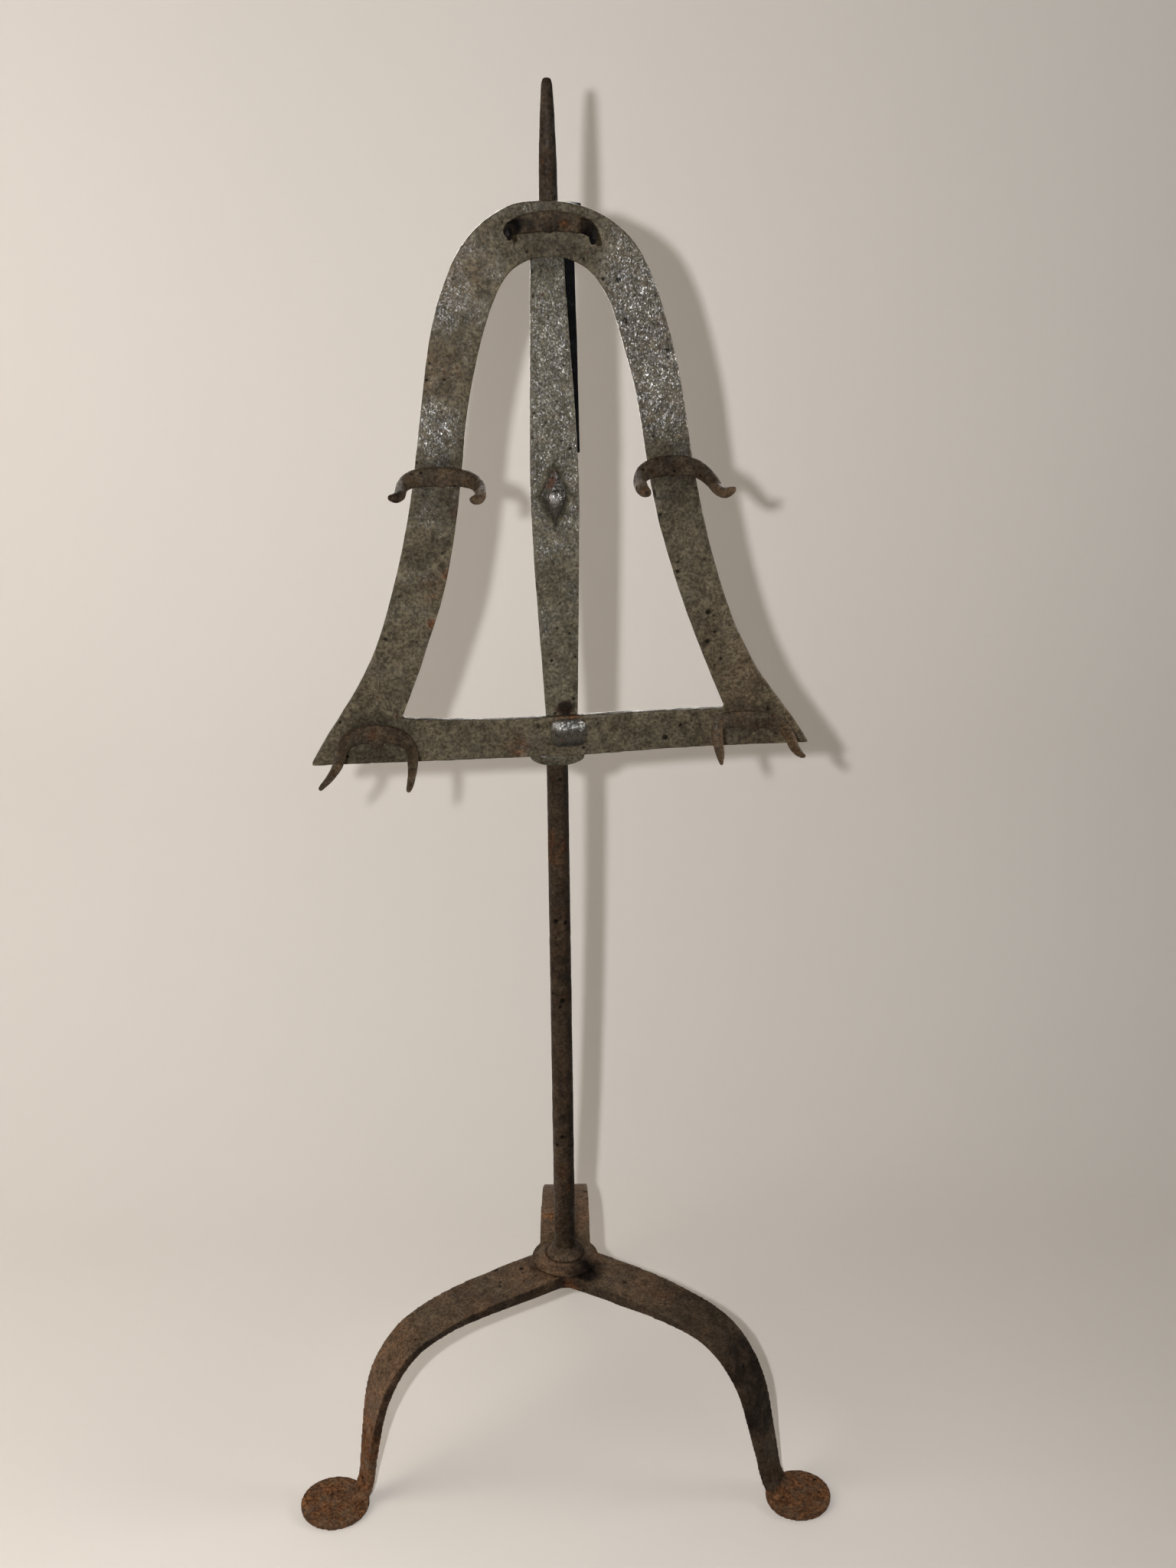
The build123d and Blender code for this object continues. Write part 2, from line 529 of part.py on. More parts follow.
# place: left prong, right prong; stations from the strap to the tip:
# (across, height, distance in front of the axis, half height, half width)
HOOKS = {
    "top": (
        [(-15.5, 740.7, STRAP_MID, 4.4, 2.1), (-19.6, 740.7, 24.5, 4.0, 2.9),
         (-21.2, 740.4, 31.0, 3.5, 3.2), (-21.9, 739.9, 44.0, 2.7, 2.5),
         (-22.6, 739.2, 60.0, 1.5, 1.4)],
        [(13.5, 740.2, STRAP_MID, 4.4, 2.1), (17.4, 739.4, 24.5, 4.1, 2.9),
         (18.9, 738.4, 31.0, 3.6, 3.3), (18.2, 737.2, 44.0, 2.8, 2.6),
         (17.0, 735.9, 58.0, 1.6, 1.5)]),
    "left": (
        [(-71.5, 616.6, STRAP_MID, 4.5, 2.1), (-76.2, 615.9, 24.8, 3.7, 2.8),
         (-78.3, 615.0, 31.5, 3.1, 3.1), (-79.0, 614.2, 41.0, 2.8, 2.8),
         (-79.8, 613.9, 48.0, 2.5, 2.7), (-82.2, 614.3, 52.5, 2.0, 2.0)],
        [(-46.5, 616.0, STRAP_MID, 4.5, 2.1), (-41.8, 615.0, 24.8, 3.8, 2.9),
         (-39.4, 613.5, 31.5, 3.3, 3.3), (-39.0, 612.5, 41.0, 2.9, 2.9),
         (-39.8, 611.9, 48.0, 2.5, 2.5), (-42.2, 612.2, 51.5, 1.8, 1.8)]),
    "right": (
        [(49.3, 618.2, STRAP_MID, 4.5, 2.1), (44.8, 617.0, 24.8, 3.7, 2.9),
         (42.7, 615.7, 32.0, 3.3, 3.3), (42.2, 614.6, 42.0, 3.0, 3.0),
         (42.9, 613.8, 50.0, 2.5, 2.5)],
        [(71.4, 618.2, STRAP_MID, 4.5, 2.1), (76.2, 616.8, 24.6, 3.7, 2.9),
         (79.9, 614.0, 32.5, 3.2, 3.2), (81.6, 611.7, 42.0, 2.9, 2.9),
         (83.8, 611.9, 49.0, 2.6, 2.6), (86.8, 613.8, 52.0, 2.0, 2.0)]),
    "lower_left": (
        [(-110.2, 476.9, STRAP_MID, 4.5, 2.1), (-114.8, 475.9, 25.0, 3.6, 2.6),
         (-116.8, 474.6, 33.0, 3.1, 3.0), (-117.8, 472.8, 46.0, 2.7, 2.8),
         (-121.0, 470.3, 57.0, 2.2, 2.3), (-125.8, 467.9, 66.0, 1.3, 1.4)],
        [(-87.0, 475.2, STRAP_MID, 4.5, 2.1), (-81.8, 473.8, 25.2, 3.6, 2.6),
         (-79.4, 472.0, 34.0, 3.2, 3.0), (-79.3, 469.8, 48.0, 2.8, 2.6),
         (-80.0, 467.3, 59.0, 2.2, 2.1), (-81.3, 465.2, 67.0, 1.4, 1.4)]),
    "lower_right": (
        [(93.6, 478.4, STRAP_MID, 4.5, 2.1), (87.6, 479.9, 25.0, 3.6, 2.7),
         (84.2, 480.0, 34.0, 3.2, 3.0), (82.6, 478.3, 50.0, 2.9, 2.7),
         (81.6, 476.7, 63.0, 2.3, 2.2), (80.9, 475.4, 72.0, 1.0, 1.0)],
        [(116.8, 477.2, STRAP_MID, 4.5, 2.1), (121.8, 476.4, 25.2, 3.6, 2.7),
         (124.2, 474.4, 33.0, 3.1, 3.0), (124.8, 471.9, 43.0, 2.6, 2.6),
         (127.0, 470.4, 52.0, 1.2, 1.2)]),
}


def prong_sections(path):
    """Section planes across a prong, with a steady sideways direction."""
    points = [FRAME.from_local_coords(Vector(*station[:3])) for station in path]
    sections = []
    for i, point in enumerate(points):
        if i == 0:
            along = TO_RIGHT * (1 if path[1][0] > path[0][0] else -1)
        else:
            along = points[min(i + 1, len(points) - 1)] - points[i - 1]
        along = along.normalized()
        across = Vector(0, 0, 1).cross(along).normalized()
        half_h, half_w = path[i][3:]
        sections.append((Plane(origin=point, x_dir=across, z_dir=along), half_h, half_w))
    return sections


def make_hook(left_prong, right_prong, rivet_at):
    """Flat strap with a tapered prong lofted from each end."""
    x0, z0 = left_prong[0][:2]
    x1, z1 = right_prong[0][:2]
    tilt = math.degrees(math.atan2(z1 - z0, x1 - x0))
    with BuildPart() as hook:
        with BuildSketch(FRAME.offset(ARCH_FRONT)):
            with Locations(Location(((x0 + x1) / 2, (z0 + z1) / 2, 0), (0, 0, tilt))):
                Rectangle(math.hypot(x1 - x0, z1 - z0) + 1.0, STRAP_H)
        extrude(amount=STRAP_T)
        for prong in (left_prong, right_prong):
            for plane, half_h, half_w in prong_sections(prong):
                with BuildSketch(plane):
                    Ellipse(half_w, half_h)
            loft()
        # nothing of the hook enters the bar it lies on
        with BuildSketch(FRAME.offset(ARCH_FRONT)):
            with Locations((0, 600)):
                Rectangle(400, 400)
        extrude(amount=-12, mode=Mode.SUBTRACT)
        with BuildSketch(FRAME.offset(ARCH_FRONT)):
            with Locations(rivet_at):
                Circle(HOOK_HOLE_R)
        extrude(amount=STRAP_T, mode=Mode.SUBTRACT)
    return hook.part


for place, (left_prong, right_prong) in HOOKS.items():
    save(make_hook(left_prong, right_prong, HOOK_RIVETS[place]), "hook_" + place)
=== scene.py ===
"""A wrought-iron stand: three legs carry an upright, and on the upright slides a hook frame.

The upright's axis is the Z axis and the feet stand on z = 0. The hook frame (an arch with a
crossbar, a centre bar and a spring leaf) faces -Y, turned 3.5 degrees about Z. Left is -X.
Shapes and masks are worked out in millimetres; meshes, lights and camera are in metres.
"""
import bpy
import json
import math
from dataclasses import dataclass
from itertools import product
import numpy as np
from mathutils import Vector, Matrix


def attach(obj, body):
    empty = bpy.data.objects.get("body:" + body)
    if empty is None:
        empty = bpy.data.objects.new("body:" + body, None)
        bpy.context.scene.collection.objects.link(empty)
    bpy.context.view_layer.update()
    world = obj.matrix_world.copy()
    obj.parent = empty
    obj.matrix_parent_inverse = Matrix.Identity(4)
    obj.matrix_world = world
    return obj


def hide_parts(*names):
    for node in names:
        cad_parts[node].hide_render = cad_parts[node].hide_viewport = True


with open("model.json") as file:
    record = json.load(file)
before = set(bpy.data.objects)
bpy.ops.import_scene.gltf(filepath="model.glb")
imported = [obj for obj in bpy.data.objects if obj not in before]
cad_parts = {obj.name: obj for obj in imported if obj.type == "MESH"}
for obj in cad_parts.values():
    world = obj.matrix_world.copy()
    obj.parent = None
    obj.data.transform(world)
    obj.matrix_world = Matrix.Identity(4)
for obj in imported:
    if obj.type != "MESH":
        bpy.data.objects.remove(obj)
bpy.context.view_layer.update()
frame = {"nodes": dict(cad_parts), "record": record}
NODES = frame["nodes"]
BODY = {node: body for body, nodes in frame["record"]["behaviour"]["bodies"].items()
        for node in nodes}
scene = bpy.context.scene

# the hook frame's own directions: along its bars, and out of its front face
TURN = math.radians(3.5)
ALONG = np.array([math.cos(TURN), math.sin(TURN), 0.0])
OUT = np.array([math.sin(TURN), -math.cos(TURN), 0.0])

# rivet of each hook on the frame: along, height
HOOKS = {"top": (-1.4, 740.4), "left": (-59.0, 616.4), "right": (60.2, 618.9),
         "lower_left": (-98.6, 475.9), "lower_right": (105.6, 477.6)}
BOSS_Z = 605.3                  # middle of the diamond rove on the centre bar
BIG_RIVET = (5.1, 476.3)        # crossbar rivet: along, height
CROSSBAR_MIDDLE = 5.0           # along


def at_frame(along, height, out):
    """A place on the hook frame, in the stand's own axes."""
    return ALONG * along + OUT * out + np.array([0, 0, height])


def from_axis(points):
    """Distance from the upright's axis."""
    return np.hypot(points[:, 0], points[:, 1])


def diamond(points, half_width=7.7, half_height=15.0):
    """0 at the middle of the diamond rove, 1 at its rim."""
    return (np.abs(points @ ALONG) / half_width
            + np.abs(points[:, 2] - BOSS_Z) / half_height)


# ------------------------------------------------------------------ noise
def hash_cells(cells, seed):
    mixed = (cells[:, 0] * 374761393 + cells[:, 1] * 668265263 + cells[:, 2] * 1103515245
             + seed * 362437) & 0xFFFFFFFF
    mixed = ((mixed ^ (mixed >> 13)) * 1274126177) & 0xFFFFFFFF
    mixed = ((mixed ^ (mixed >> 15)) * 668265263) & 0xFFFFFFFF
    return mixed ^ (mixed >> 16)


def three_parts(hashes):
    """Three numbers from 0 to 1023 out of each hash."""
    return np.stack([(hashes >> shift) & 1023 for shift in (0, 10, 20)], 1)


def perlin(points, seed):
    """Gradient noise round 0, one cell per unit."""
    cells = np.floor(points).astype(np.int64)
    inside = points - cells
    blend = inside * inside * inside * (inside * (inside * 6 - 15) + 10)
    total = np.zeros(len(points))
    for corner in product((0, 1), repeat=3):
        slope = three_parts(hash_cells(cells + corner, seed)) / 511.5 - 1
        weight = np.where(corner, blend, 1 - blend)
        pull = slope * (inside - corner)
        total += (weight[:, 0] * weight[:, 1] * weight[:, 2]
                  * (pull[:, 0] + pull[:, 1] + pull[:, 2]))
    return total * 1.15


def fbm(points, octaves, seed):
    """Layers of ever finer and weaker gradient noise."""
    total, amount, amounts = np.zeros(len(points)), 1.0, 0.0
    for k in range(octaves):
        total += amount * perlin(points * 2.03 ** k + 17.1 * k, seed + k)
        amounts += amount
        amount *= 0.55
    return total / amounts


def worley(points, seed):
    """Distance to the nearest scattered point, in cells, and that point's hash."""
    cells = np.floor(points).astype(np.int64)
    nearest = np.full(len(points), 9.0)
    owner = np.zeros(len(points), np.int64)
    for step in product((-1, 0, 1), repeat=3):
        cell = cells + step
        hashes = hash_cells(cell, seed)
        seeds = cell + three_parts(hashes) / 1023.0
        squared = ((seeds - points) ** 2).sum(1)
        closer = squared < nearest
        nearest = np.where(closer, squared, nearest)
        owner = np.where(closer, hashes, owner)
    return np.sqrt(nearest), owner


def pits(points, cell, radius, share, seed):
    """0..1 depth of scattered round pits; share is how many of the cells have one."""
    distance, owner = worley(points / cell, seed)
    size = ((owner >> 5) & 255) / 255.0
    present = ((owner >> 12) & 255) / 255.0 < share
    reach = radius / cell * (0.55 + 0.75 * size)
    depth = np.clip(1 - distance / reach, 0, 1)
    return np.where(present, depth * depth * (3 - 2 * depth) * (0.5 + 0.5 * size), 0.0)


def rise(value, low, high):
    """Smooth step: 0 up to low, 1 from high on."""
    t = np.clip((value - low) / (high - low), 0, 1)
    return t * t * (3 - 2 * t)


def ball(points, centre, radius, soft):
    """1 inside a ball, fading to 0 over the outer soft share of its radius."""
    distance = np.linalg.norm(points - np.array(centre), axis=1)
    return 1 - rise(distance, radius * (1 - soft), radius)


def stain(base, points, spots, on_frame=True):
    """Raise a mask by round spots.

    A spot is strength, centre, radius, soft share; its centre is three numbers: along,
    height, out on the hook frame, or else plain x, y, z.
    """
    for strength, *centre, radius, soft in spots:
        if on_frame:
            centre = at_frame(*centre)
        base = np.maximum(base, strength * ball(points, centre, radius, soft))
    return base


# ------------------------------------------------------------------ mesh helpers
def verts_of(mesh):
    flat = np.empty(len(mesh.vertices) * 3)
    mesh.vertices.foreach_get("co", flat)
    return flat.reshape(-1, 3)


def normals_of(mesh):
    flat = np.empty(len(mesh.vertices) * 3, np.float32)
    mesh.vertex_normals.foreach_get("vector", flat)
    return flat.reshape(-1, 3).astype(float)


def set_verts(mesh, verts):
    mesh.vertices.foreach_set("co", verts.astype(np.float32).ravel())
    mesh.update()


def edges_of(mesh):
    flat = np.empty(len(mesh.edges) * 2, np.int32)
    mesh.edges.foreach_get("vertices", flat)
    return flat.reshape(-1, 2)


def neighbour_mean(values, edges):
    total = np.zeros(values.shape)
    np.add.at(total, edges[:, 0], values[edges[:, 1]])
    np.add.at(total, edges[:, 1], values[edges[:, 0]])
    count = np.maximum(np.bincount(edges.ravel(), minlength=len(values)), 1)
    return total / (count[:, None] if values.ndim > 1 else count)


def float_attribute(mesh, name, values):
    attribute = mesh.attributes.new(name, "FLOAT", "POINT")
    attribute.data.foreach_set("value", values.astype(np.float32))


def cad_solid(nodes, reshape=None):
    """Vertices in metres and triangles of CAD nodes; reshape maps a node to a function in mm."""
    verts, faces, base = [], [], 0
    for node in nodes:
        mesh = NODES[node].data
        part = verts_of(mesh)
        if reshape and node in reshape:
            part = reshape[node](part * 1000) / 1000
        mesh.calc_loop_triangles()
        triangles = np.empty(len(mesh.loop_triangles) * 3, np.int32)
        mesh.loop_triangles.foreach_get("vertices", triangles)
        verts.append(part)
        faces.append(triangles.reshape(-1, 3) + base)
        base += len(part)
    return np.concatenate(verts), np.concatenate(faces).tolist()


def skinned(name, solid, voxel, rounds):
    """One closed evenly meshed skin over the solids, its edges rounded as by a hammer."""
    verts, faces = solid
    source = bpy.data.meshes.new(name + "_src")
    source.from_pydata(verts.tolist(), [], faces)
    source.update()
    thing = bpy.data.objects.new(name, source)
    scene.collection.objects.link(thing)
    remesh = thing.modifiers.new("skin", "REMESH")
    remesh.mode = "VOXEL"
    remesh.voxel_size = voxel / 1000
    remesh.use_smooth_shade = True
    smooth = thing.modifiers.new("round", "SMOOTH")
    smooth.factor = 0.5
    smooth.iterations = rounds
    depsgraph = bpy.context.evaluated_depsgraph_get()
    mesh = bpy.data.meshes.new_from_object(thing.evaluated_get(depsgraph))
    thing.modifiers.clear()
    thing.data = mesh
    bpy.data.meshes.remove(source)
    mesh.name = name
    return thing


# ------------------------------------------------------------------ shader nodes
# scale, detail, roughness, shift, distortion
NOISES = {
    "mottle": (38, 4, 0.6, 0.1, 0.0), "patches": (170, 5, 0.65, 1.3, 0.0),
    "fine": (900, 4, 0.7, 2.1, 0.0), "tan": (95, 4, 0.6, 21.0, 0.0),
    "dots": (640, 2, 0.5, 5.9, 0.0), "rust": (115, 6, 0.7, 4.2, 0.6),
    "rust_tone": (420, 4, 0.7, 7.7, 0.0), "fine_speckle": (600, 3, 0.65, 31.0, 0.0),
    "coarse_speckle": (140, 3, 0.6, 37.0, 0.0), "freckles": (60, 3, 0.6, 9.4, 0.0),
    "soot_and_shade": (90, 4, 0.6, 12.5, 0.0), "gloss": (260, 3, 0.6, 15.2, 0.0),
    "fine_relief": (760, 4, 0.6, 3.3, 0.0), "broad_relief": (250, 3, 0.6, 8.1, 0.0),
}


def scaled(colour, factor):
    return tuple(min(1, factor * c) for c in colour)


class Graph:
    """Short calls that add nodes to a tree. Most give back the new node's output socket."""

    def __init__(self, tree):
        self.tree = tree

    def feed(self, socket, value):
        if isinstance(value, bpy.types.NodeSocket):
            self.tree.links.new(value, socket)
        else:
            socket.default_value = value

    def node(self, kind, inputs=None, **props):
        """The node itself; inputs maps an input's name or index to a socket or a value."""
        node = self.tree.nodes.new(kind)
        for key, value in props.items():
            setattr(node, key, value)
        for key, value in (inputs or {}).items():
            self.feed(node.inputs[key], value)
        return node

    def math(self, operation, a, b, clamp=False):
        return self.node("ShaderNodeMath", {0: a, 1: b}, operation=operation,
                         use_clamp=clamp).outputs[0]

    def times(self, a, b, clamp=False):
        return self.math("MULTIPLY", a, b, clamp)

    def plus(self, a, b, clamp=False):
        return self.math("ADD", a, b, clamp)

    def one_minus(self, value):
        return self.math("SUBTRACT", 1.0, value)

    def vector(self, operation, *inputs, scale=None):
        feeds = dict(enumerate(inputs))
        if scale is not None:
            feeds["Scale"] = scale
        return self.node("ShaderNodeVectorMath", feeds, operation=operation).outputs[0]

    def ramp(self, value, span, to=(0.0, 1.0)):
        """Smooth step over the span, carried to the range given."""
        feeds = {"From Min": span[0], "From Max": span[1], "To Min": to[0], "To Max": to[1],
                 "Value": value}
        return self.node("ShaderNodeMapRange", feeds,
                         interpolation_type="SMOOTHSTEP").outputs["Result"]

    def mix(self, factor, under, over, blend="MIX"):
        under, over = [(*c, 1.0) if isinstance(c, tuple) else c for c in (under, over)]
        # inputs 6 and 7 and output 2 are the colour ones
        return self.node("ShaderNodeMix", {0: factor, 6: under, 7: over},
                         data_type="RGBA", blend_type=blend).outputs[2]

    def mix_shader(self, factor, first, second):
        return self.node("ShaderNodeMixShader", {0: factor, 1: first, 2: second}).outputs[0]

    def mask(self, name):
        """A value stored on the mesh."""
        return self.node("ShaderNodeAttribute", attribute_name=name).outputs["Fac"]

    def noise(self, place, name):
        scale, detail, roughness, shift, distortion = NOISES[name]
        shifted = self.node("ShaderNodeMapping",
                            {"Location": (shift, shift * 1.7, shift * 0.6), 0: place})
        feeds = {"Scale": scale, "Detail": detail, "Roughness": roughness,
                 "Distortion": distortion, "Vector": shifted.outputs[0]}
        return self.node("ShaderNodeTexNoise", feeds).outputs["Fac"]


# ------------------------------------------------------------------ iron
@dataclass
class Iron:
    dark: tuple                 # fire scale
    light: tuple                # rubbed scale
    rust_dark: tuple
    rust_light: tuple
    rough: float
    bump: float                 # height of the fine relief, mm
    glint: float                # strength of the highlights
    ior: float
    edge: float                 # how much worn edges brighten
    facet: float                # tilt of the scale grains
    grain: float = 1900.0       # scale grains per metre
    tan: tuple = (0.13, 0.074, 0.040)
    rust_bias: float = 0.0


METALLIC = 0.0                  # scale covers the metal everywhere
# near black, mixed in both for soot and for painted shade
SOOT_AND_SHADE = (0.0035, 0.003, 0.003)

IRONS = {
    "iron_frame": Iron(
        dark=(0.043, 0.0352, 0.0228), light=(0.087, 0.0725, 0.0480),
        rust_dark=(0.045, 0.019, 0.010), rust_light=(0.11, 0.044, 0.020),
        rough=0.33, bump=0.16, glint=1.0, ior=1.75, edge=0.08, facet=0.34,
        tan=(0.105, 0.066, 0.038)),
    "iron_centre": Iron(
        dark=(0.047, 0.0405, 0.0272), light=(0.098, 0.0860, 0.0600),
        rust_dark=(0.042, 0.018, 0.010), rust_light=(0.10, 0.042, 0.020),
        rough=0.33, bump=0.16, glint=1.0, ior=1.75, edge=0.08, facet=0.34),
    "iron_legs": Iron(
        dark=(0.032, 0.0235, 0.0145), light=(0.076, 0.0560, 0.0355),
        rust_dark=(0.060, 0.027, 0.012), rust_light=(0.19, 0.082, 0.034),
        rough=0.42, bump=0.30, glint=0.6, ior=1.5, edge=0.12, facet=0.15, grain=1300,
        tan=(0.150, 0.080, 0.042), rust_bias=0.02),
    "iron_upright": Iron(
        dark=(0.0165, 0.0110, 0.0065), light=(0.040, 0.0270, 0.0160),
        rust_dark=(0.034, 0.015, 0.007), rust_light=(0.09, 0.038, 0.016),
        rough=0.42, bump=0.26, glint=0.6, ior=1.45, edge=0.10, facet=0.15, grain=1300,
        tan=(0.085, 0.056, 0.034), rust_bias=0.02),
    "iron_spring": Iron(
        dark=(0.0015, 0.0015, 0.0018), light=(0.004, 0.0043, 0.005),
        rust_dark=(0.010, 0.005, 0.003), rust_light=(0.03, 0.014, 0.008),
        rough=0.55, bump=0.2, glint=0.3, ior=1.4, edge=0.1, facet=0.1, rust_bias=-0.05),
    "iron_hooks": Iron(
        dark=(0.013, 0.0095, 0.0060), light=(0.053, 0.0415, 0.0270),
        rust_dark=(0.040, 0.018, 0.009), rust_light=(0.11, 0.046, 0.021),
        rough=0.52, bump=0.50, glint=0.8, ior=1.36, edge=0.12, facet=0.25, grain=1500,
        tan=(0.080, 0.050, 0.027)),
    "iron_rivets": Iron(
        dark=(0.020, 0.0165, 0.0115), light=(0.050, 0.0430, 0.0310),
        rust_dark=(0.045, 0.018, 0.010), rust_light=(0.13, 0.048, 0.021),
        rough=0.26, bump=0.34, glint=1.6, ior=2.2, edge=0.05, facet=0.26, grain=1500),
}


def scale_colour(graph, place, look, patches, fine):
    """Mottled scale, brighter where rubbed, tan in places."""
    bright = scaled(look.light, 1.5)
    middle = tuple((d + l) / 2 for d, l in zip(look.dark, look.light))
    colour = graph.mix(graph.ramp(graph.noise(place, "mottle"), span=(0.36, 0.64)),
                       look.dark, middle)
    colour = graph.mix(graph.ramp(patches, span=(0.44, 0.72)), colour, look.light)
    flecks = graph.times(graph.ramp(fine, span=(0.5, 0.75)), 0.35)
    colour = graph.mix(flecks, colour, bright)
    colour = graph.mix(graph.times(graph.mask("wear"), look.edge, clamp=True), colour, bright)
    broken = graph.ramp(graph.noise(place, "tan"), span=(0.30, 0.58), to=(0.45, 1.0))
    colour = graph.mix(graph.times(graph.mask("tan"), broken, clamp=True), colour, look.tan)
    dots = graph.times(graph.ramp(graph.noise(place, "dots"), span=(0.47, 0.60)),
                       graph.mask("spark"))
    return graph.mix(graph.times(dots, 0.55, clamp=True), colour, scaled(look.dark, 0.35))


def rust_amount(graph, place, look):
    """The mesh's rust mask broken up by noise."""
    noise = graph.noise(place, "rust")
    rust = graph.plus(graph.times(graph.mask("rust"), 1.0), look.rust_bias)
    broken = graph.ramp(graph.plus(noise, graph.times(rust, 0.40)), span=(0.60, 0.95))
    most = graph.math("MINIMUM", graph.plus(graph.times(rust, 1.1), 0.10), 0.92)
    return graph.times(broken, most)


def speckled(graph, place, colour):
    """Colour broken finely and coarsely all over."""
    for name, span, to in (("fine_speckle", (0.36, 0.64), (0.58, 1.34)),
                           ("coarse_speckle", (0.34, 0.66), (0.80, 1.16))):
        value = graph.ramp(graph.noise(place, name), span, to)
        grey = graph.node("ShaderNodeCombineColor", {0: value, 1: value, 2: value})
        colour = graph.mix(1.0, colour, grey.outputs[0], "MULTIPLY")
    return colour


def rust_freckles(graph, place, colour, look):
    cells = graph.node("ShaderNodeTexVoronoi", {"Scale": 210, "Vector": place}, feature="F1")
    freckles = graph.times(
        graph.ramp(cells.outputs["Distance"], span=(0.10, 0.26), to=(1, 0)),
        graph.ramp(graph.noise(place, "freckles"), span=(0.52, 0.66)))
    return graph.mix(graph.times(freckles, 0.9), colour, look.rust_dark)


def iron_roughness(graph, look, patches, fine, rust, soot_and_shade):
    rough = graph.ramp(patches, span=(0.3, 0.75), to=(look.rough + 0.08, look.rough - 0.06))
    rough = graph.plus(rough, graph.times(rust, 0.28))
    rough = graph.plus(rough, graph.ramp(fine, span=(0.35, 0.7), to=(0.08, -0.10)))
    rough = graph.plus(rough, graph.times(soot_and_shade, 0.12), clamp=True)
    return graph.math("MAXIMUM", rough, 0.14)


def iron_specular(graph, place, look, rust, soot_and_shade, cavity):
    """Uneven highlights, dulled by rust, by soot and painted shade, and by pits."""
    gloss = graph.ramp(graph.noise(place, "gloss"), span=(0.35, 0.65), to=(0.45, 1.0))
    clean = graph.one_minus(graph.times(rust, 0.7))
    specular = graph.times(gloss, graph.times(clean, 0.5 * look.glint))
    specular = graph.times(specular, graph.one_minus(graph.times(soot_and_shade, 0.9)))
    open_face = graph.one_minus(graph.times(cavity, 0.8, clamp=True))
    specular = graph.times(specular, open_face, clamp=True)
    spark = graph.plus(0.03, graph.times(graph.mask("spark"), 1.35))
    return graph.times(specular, spark, clamp=True)


def iron_normal(graph, place, look, rust):
    """Fine relief over scale grains, each grain its own small tilted face."""
    cells = graph.node("ShaderNodeTexVoronoi",
                       {"Scale": 620, "Smoothness": 0.6, "Vector": place},
                       feature="SMOOTH_F1")
    dents = graph.times(graph.ramp(cells.outputs["Distance"], span=(0.05, 0.42)), 0.3)
    height = graph.plus(graph.times(graph.noise(place, "fine_relief"), 1.0), dents)
    height = graph.plus(height, graph.times(graph.noise(place, "broad_relief"), 0.55))
    height = graph.plus(height, graph.times(rust, 0.35))
    leaning = graph.node("ShaderNodeMapping", {"Rotation": (0.0, 0.6, 0.0),
                                               "Scale": (1.0, 0.8, 0.62), 0: place})
    grains = graph.node("ShaderNodeTexVoronoi",
                        {"Scale": look.grain, "Vector": leaning.outputs[0]}, feature="F1")
    amount = graph.times(graph.plus(0.35, graph.mask("spark")), 2.0 * look.facet)
    random = graph.vector("SUBTRACT", grains.outputs["Color"], (0.5, 0.5, 0.5))
    tilt = graph.vector("SCALE", random, scale=amount)
    normal = graph.node("ShaderNodeNewGeometry").outputs["Normal"]
    normal = graph.vector("NORMALIZE", graph.vector("ADD", normal, tilt))
    feeds = {"Strength": 1.0, "Distance": look.bump / 1000, "Height": height,
             "Normal": normal}
    return graph.node("ShaderNodeBump", feeds).outputs[0]


def iron_material(name, look):
    """Old wrought iron: scale, rubbed highs, pits, soot with painted shade, and rust, driven by
    the mesh's masks.
    """
    material = bpy.data.materials.new(name)
    material.use_nodes = True
    material.node_tree.nodes.clear()
    graph = Graph(material.node_tree)
    place = graph.node("ShaderNodeTexCoord").outputs["Object"]
    patches = graph.noise(place, "patches")
    fine = graph.noise(place, "fine")

    colour = scale_colour(graph, place, look, patches, fine)
    rust = rust_amount(graph, place, look)
    tone = graph.ramp(graph.noise(place, "rust_tone"), span=(0.38, 0.68))
    colour = graph.mix(rust, colour, graph.mix(tone, look.rust_dark, look.rust_light))
    colour = speckled(graph, place, colour)
    colour = rust_freckles(graph, place, colour, look)
    cavity = graph.mask("cav")
    colour = graph.mix(graph.times(cavity, 1.5, clamp=True), colour, scaled(look.dark, 0.22))
    broken = graph.ramp(graph.noise(place, "soot_and_shade"), span=(0.25, 0.6), to=(0.6, 1.0))
    soot_and_shade = graph.times(graph.mask("soot_and_shade"), broken, clamp=True)
    bare = graph.one_minus(graph.math("MAXIMUM", rust, graph.times(soot_and_shade, 0.8)))

    shader = graph.node("ShaderNodeBsdfPrincipled", {
        "IOR": look.ior,
        "Base Color": graph.mix(soot_and_shade, colour, SOOT_AND_SHADE),
        "Roughness": iron_roughness(graph, look, patches, fine, rust, soot_and_shade),
        "Metallic": graph.times(bare, METALLIC),
        "Specular IOR Level": iron_specular(graph, place, look, rust, soot_and_shade, cavity),
        "Normal": iron_normal(graph, place, look, rust)})
    graph.node("ShaderNodeOutputMaterial", {0: shader.outputs[0]})
    return material


MATERIALS = {name: iron_material(name, look) for name, look in IRONS.items()}


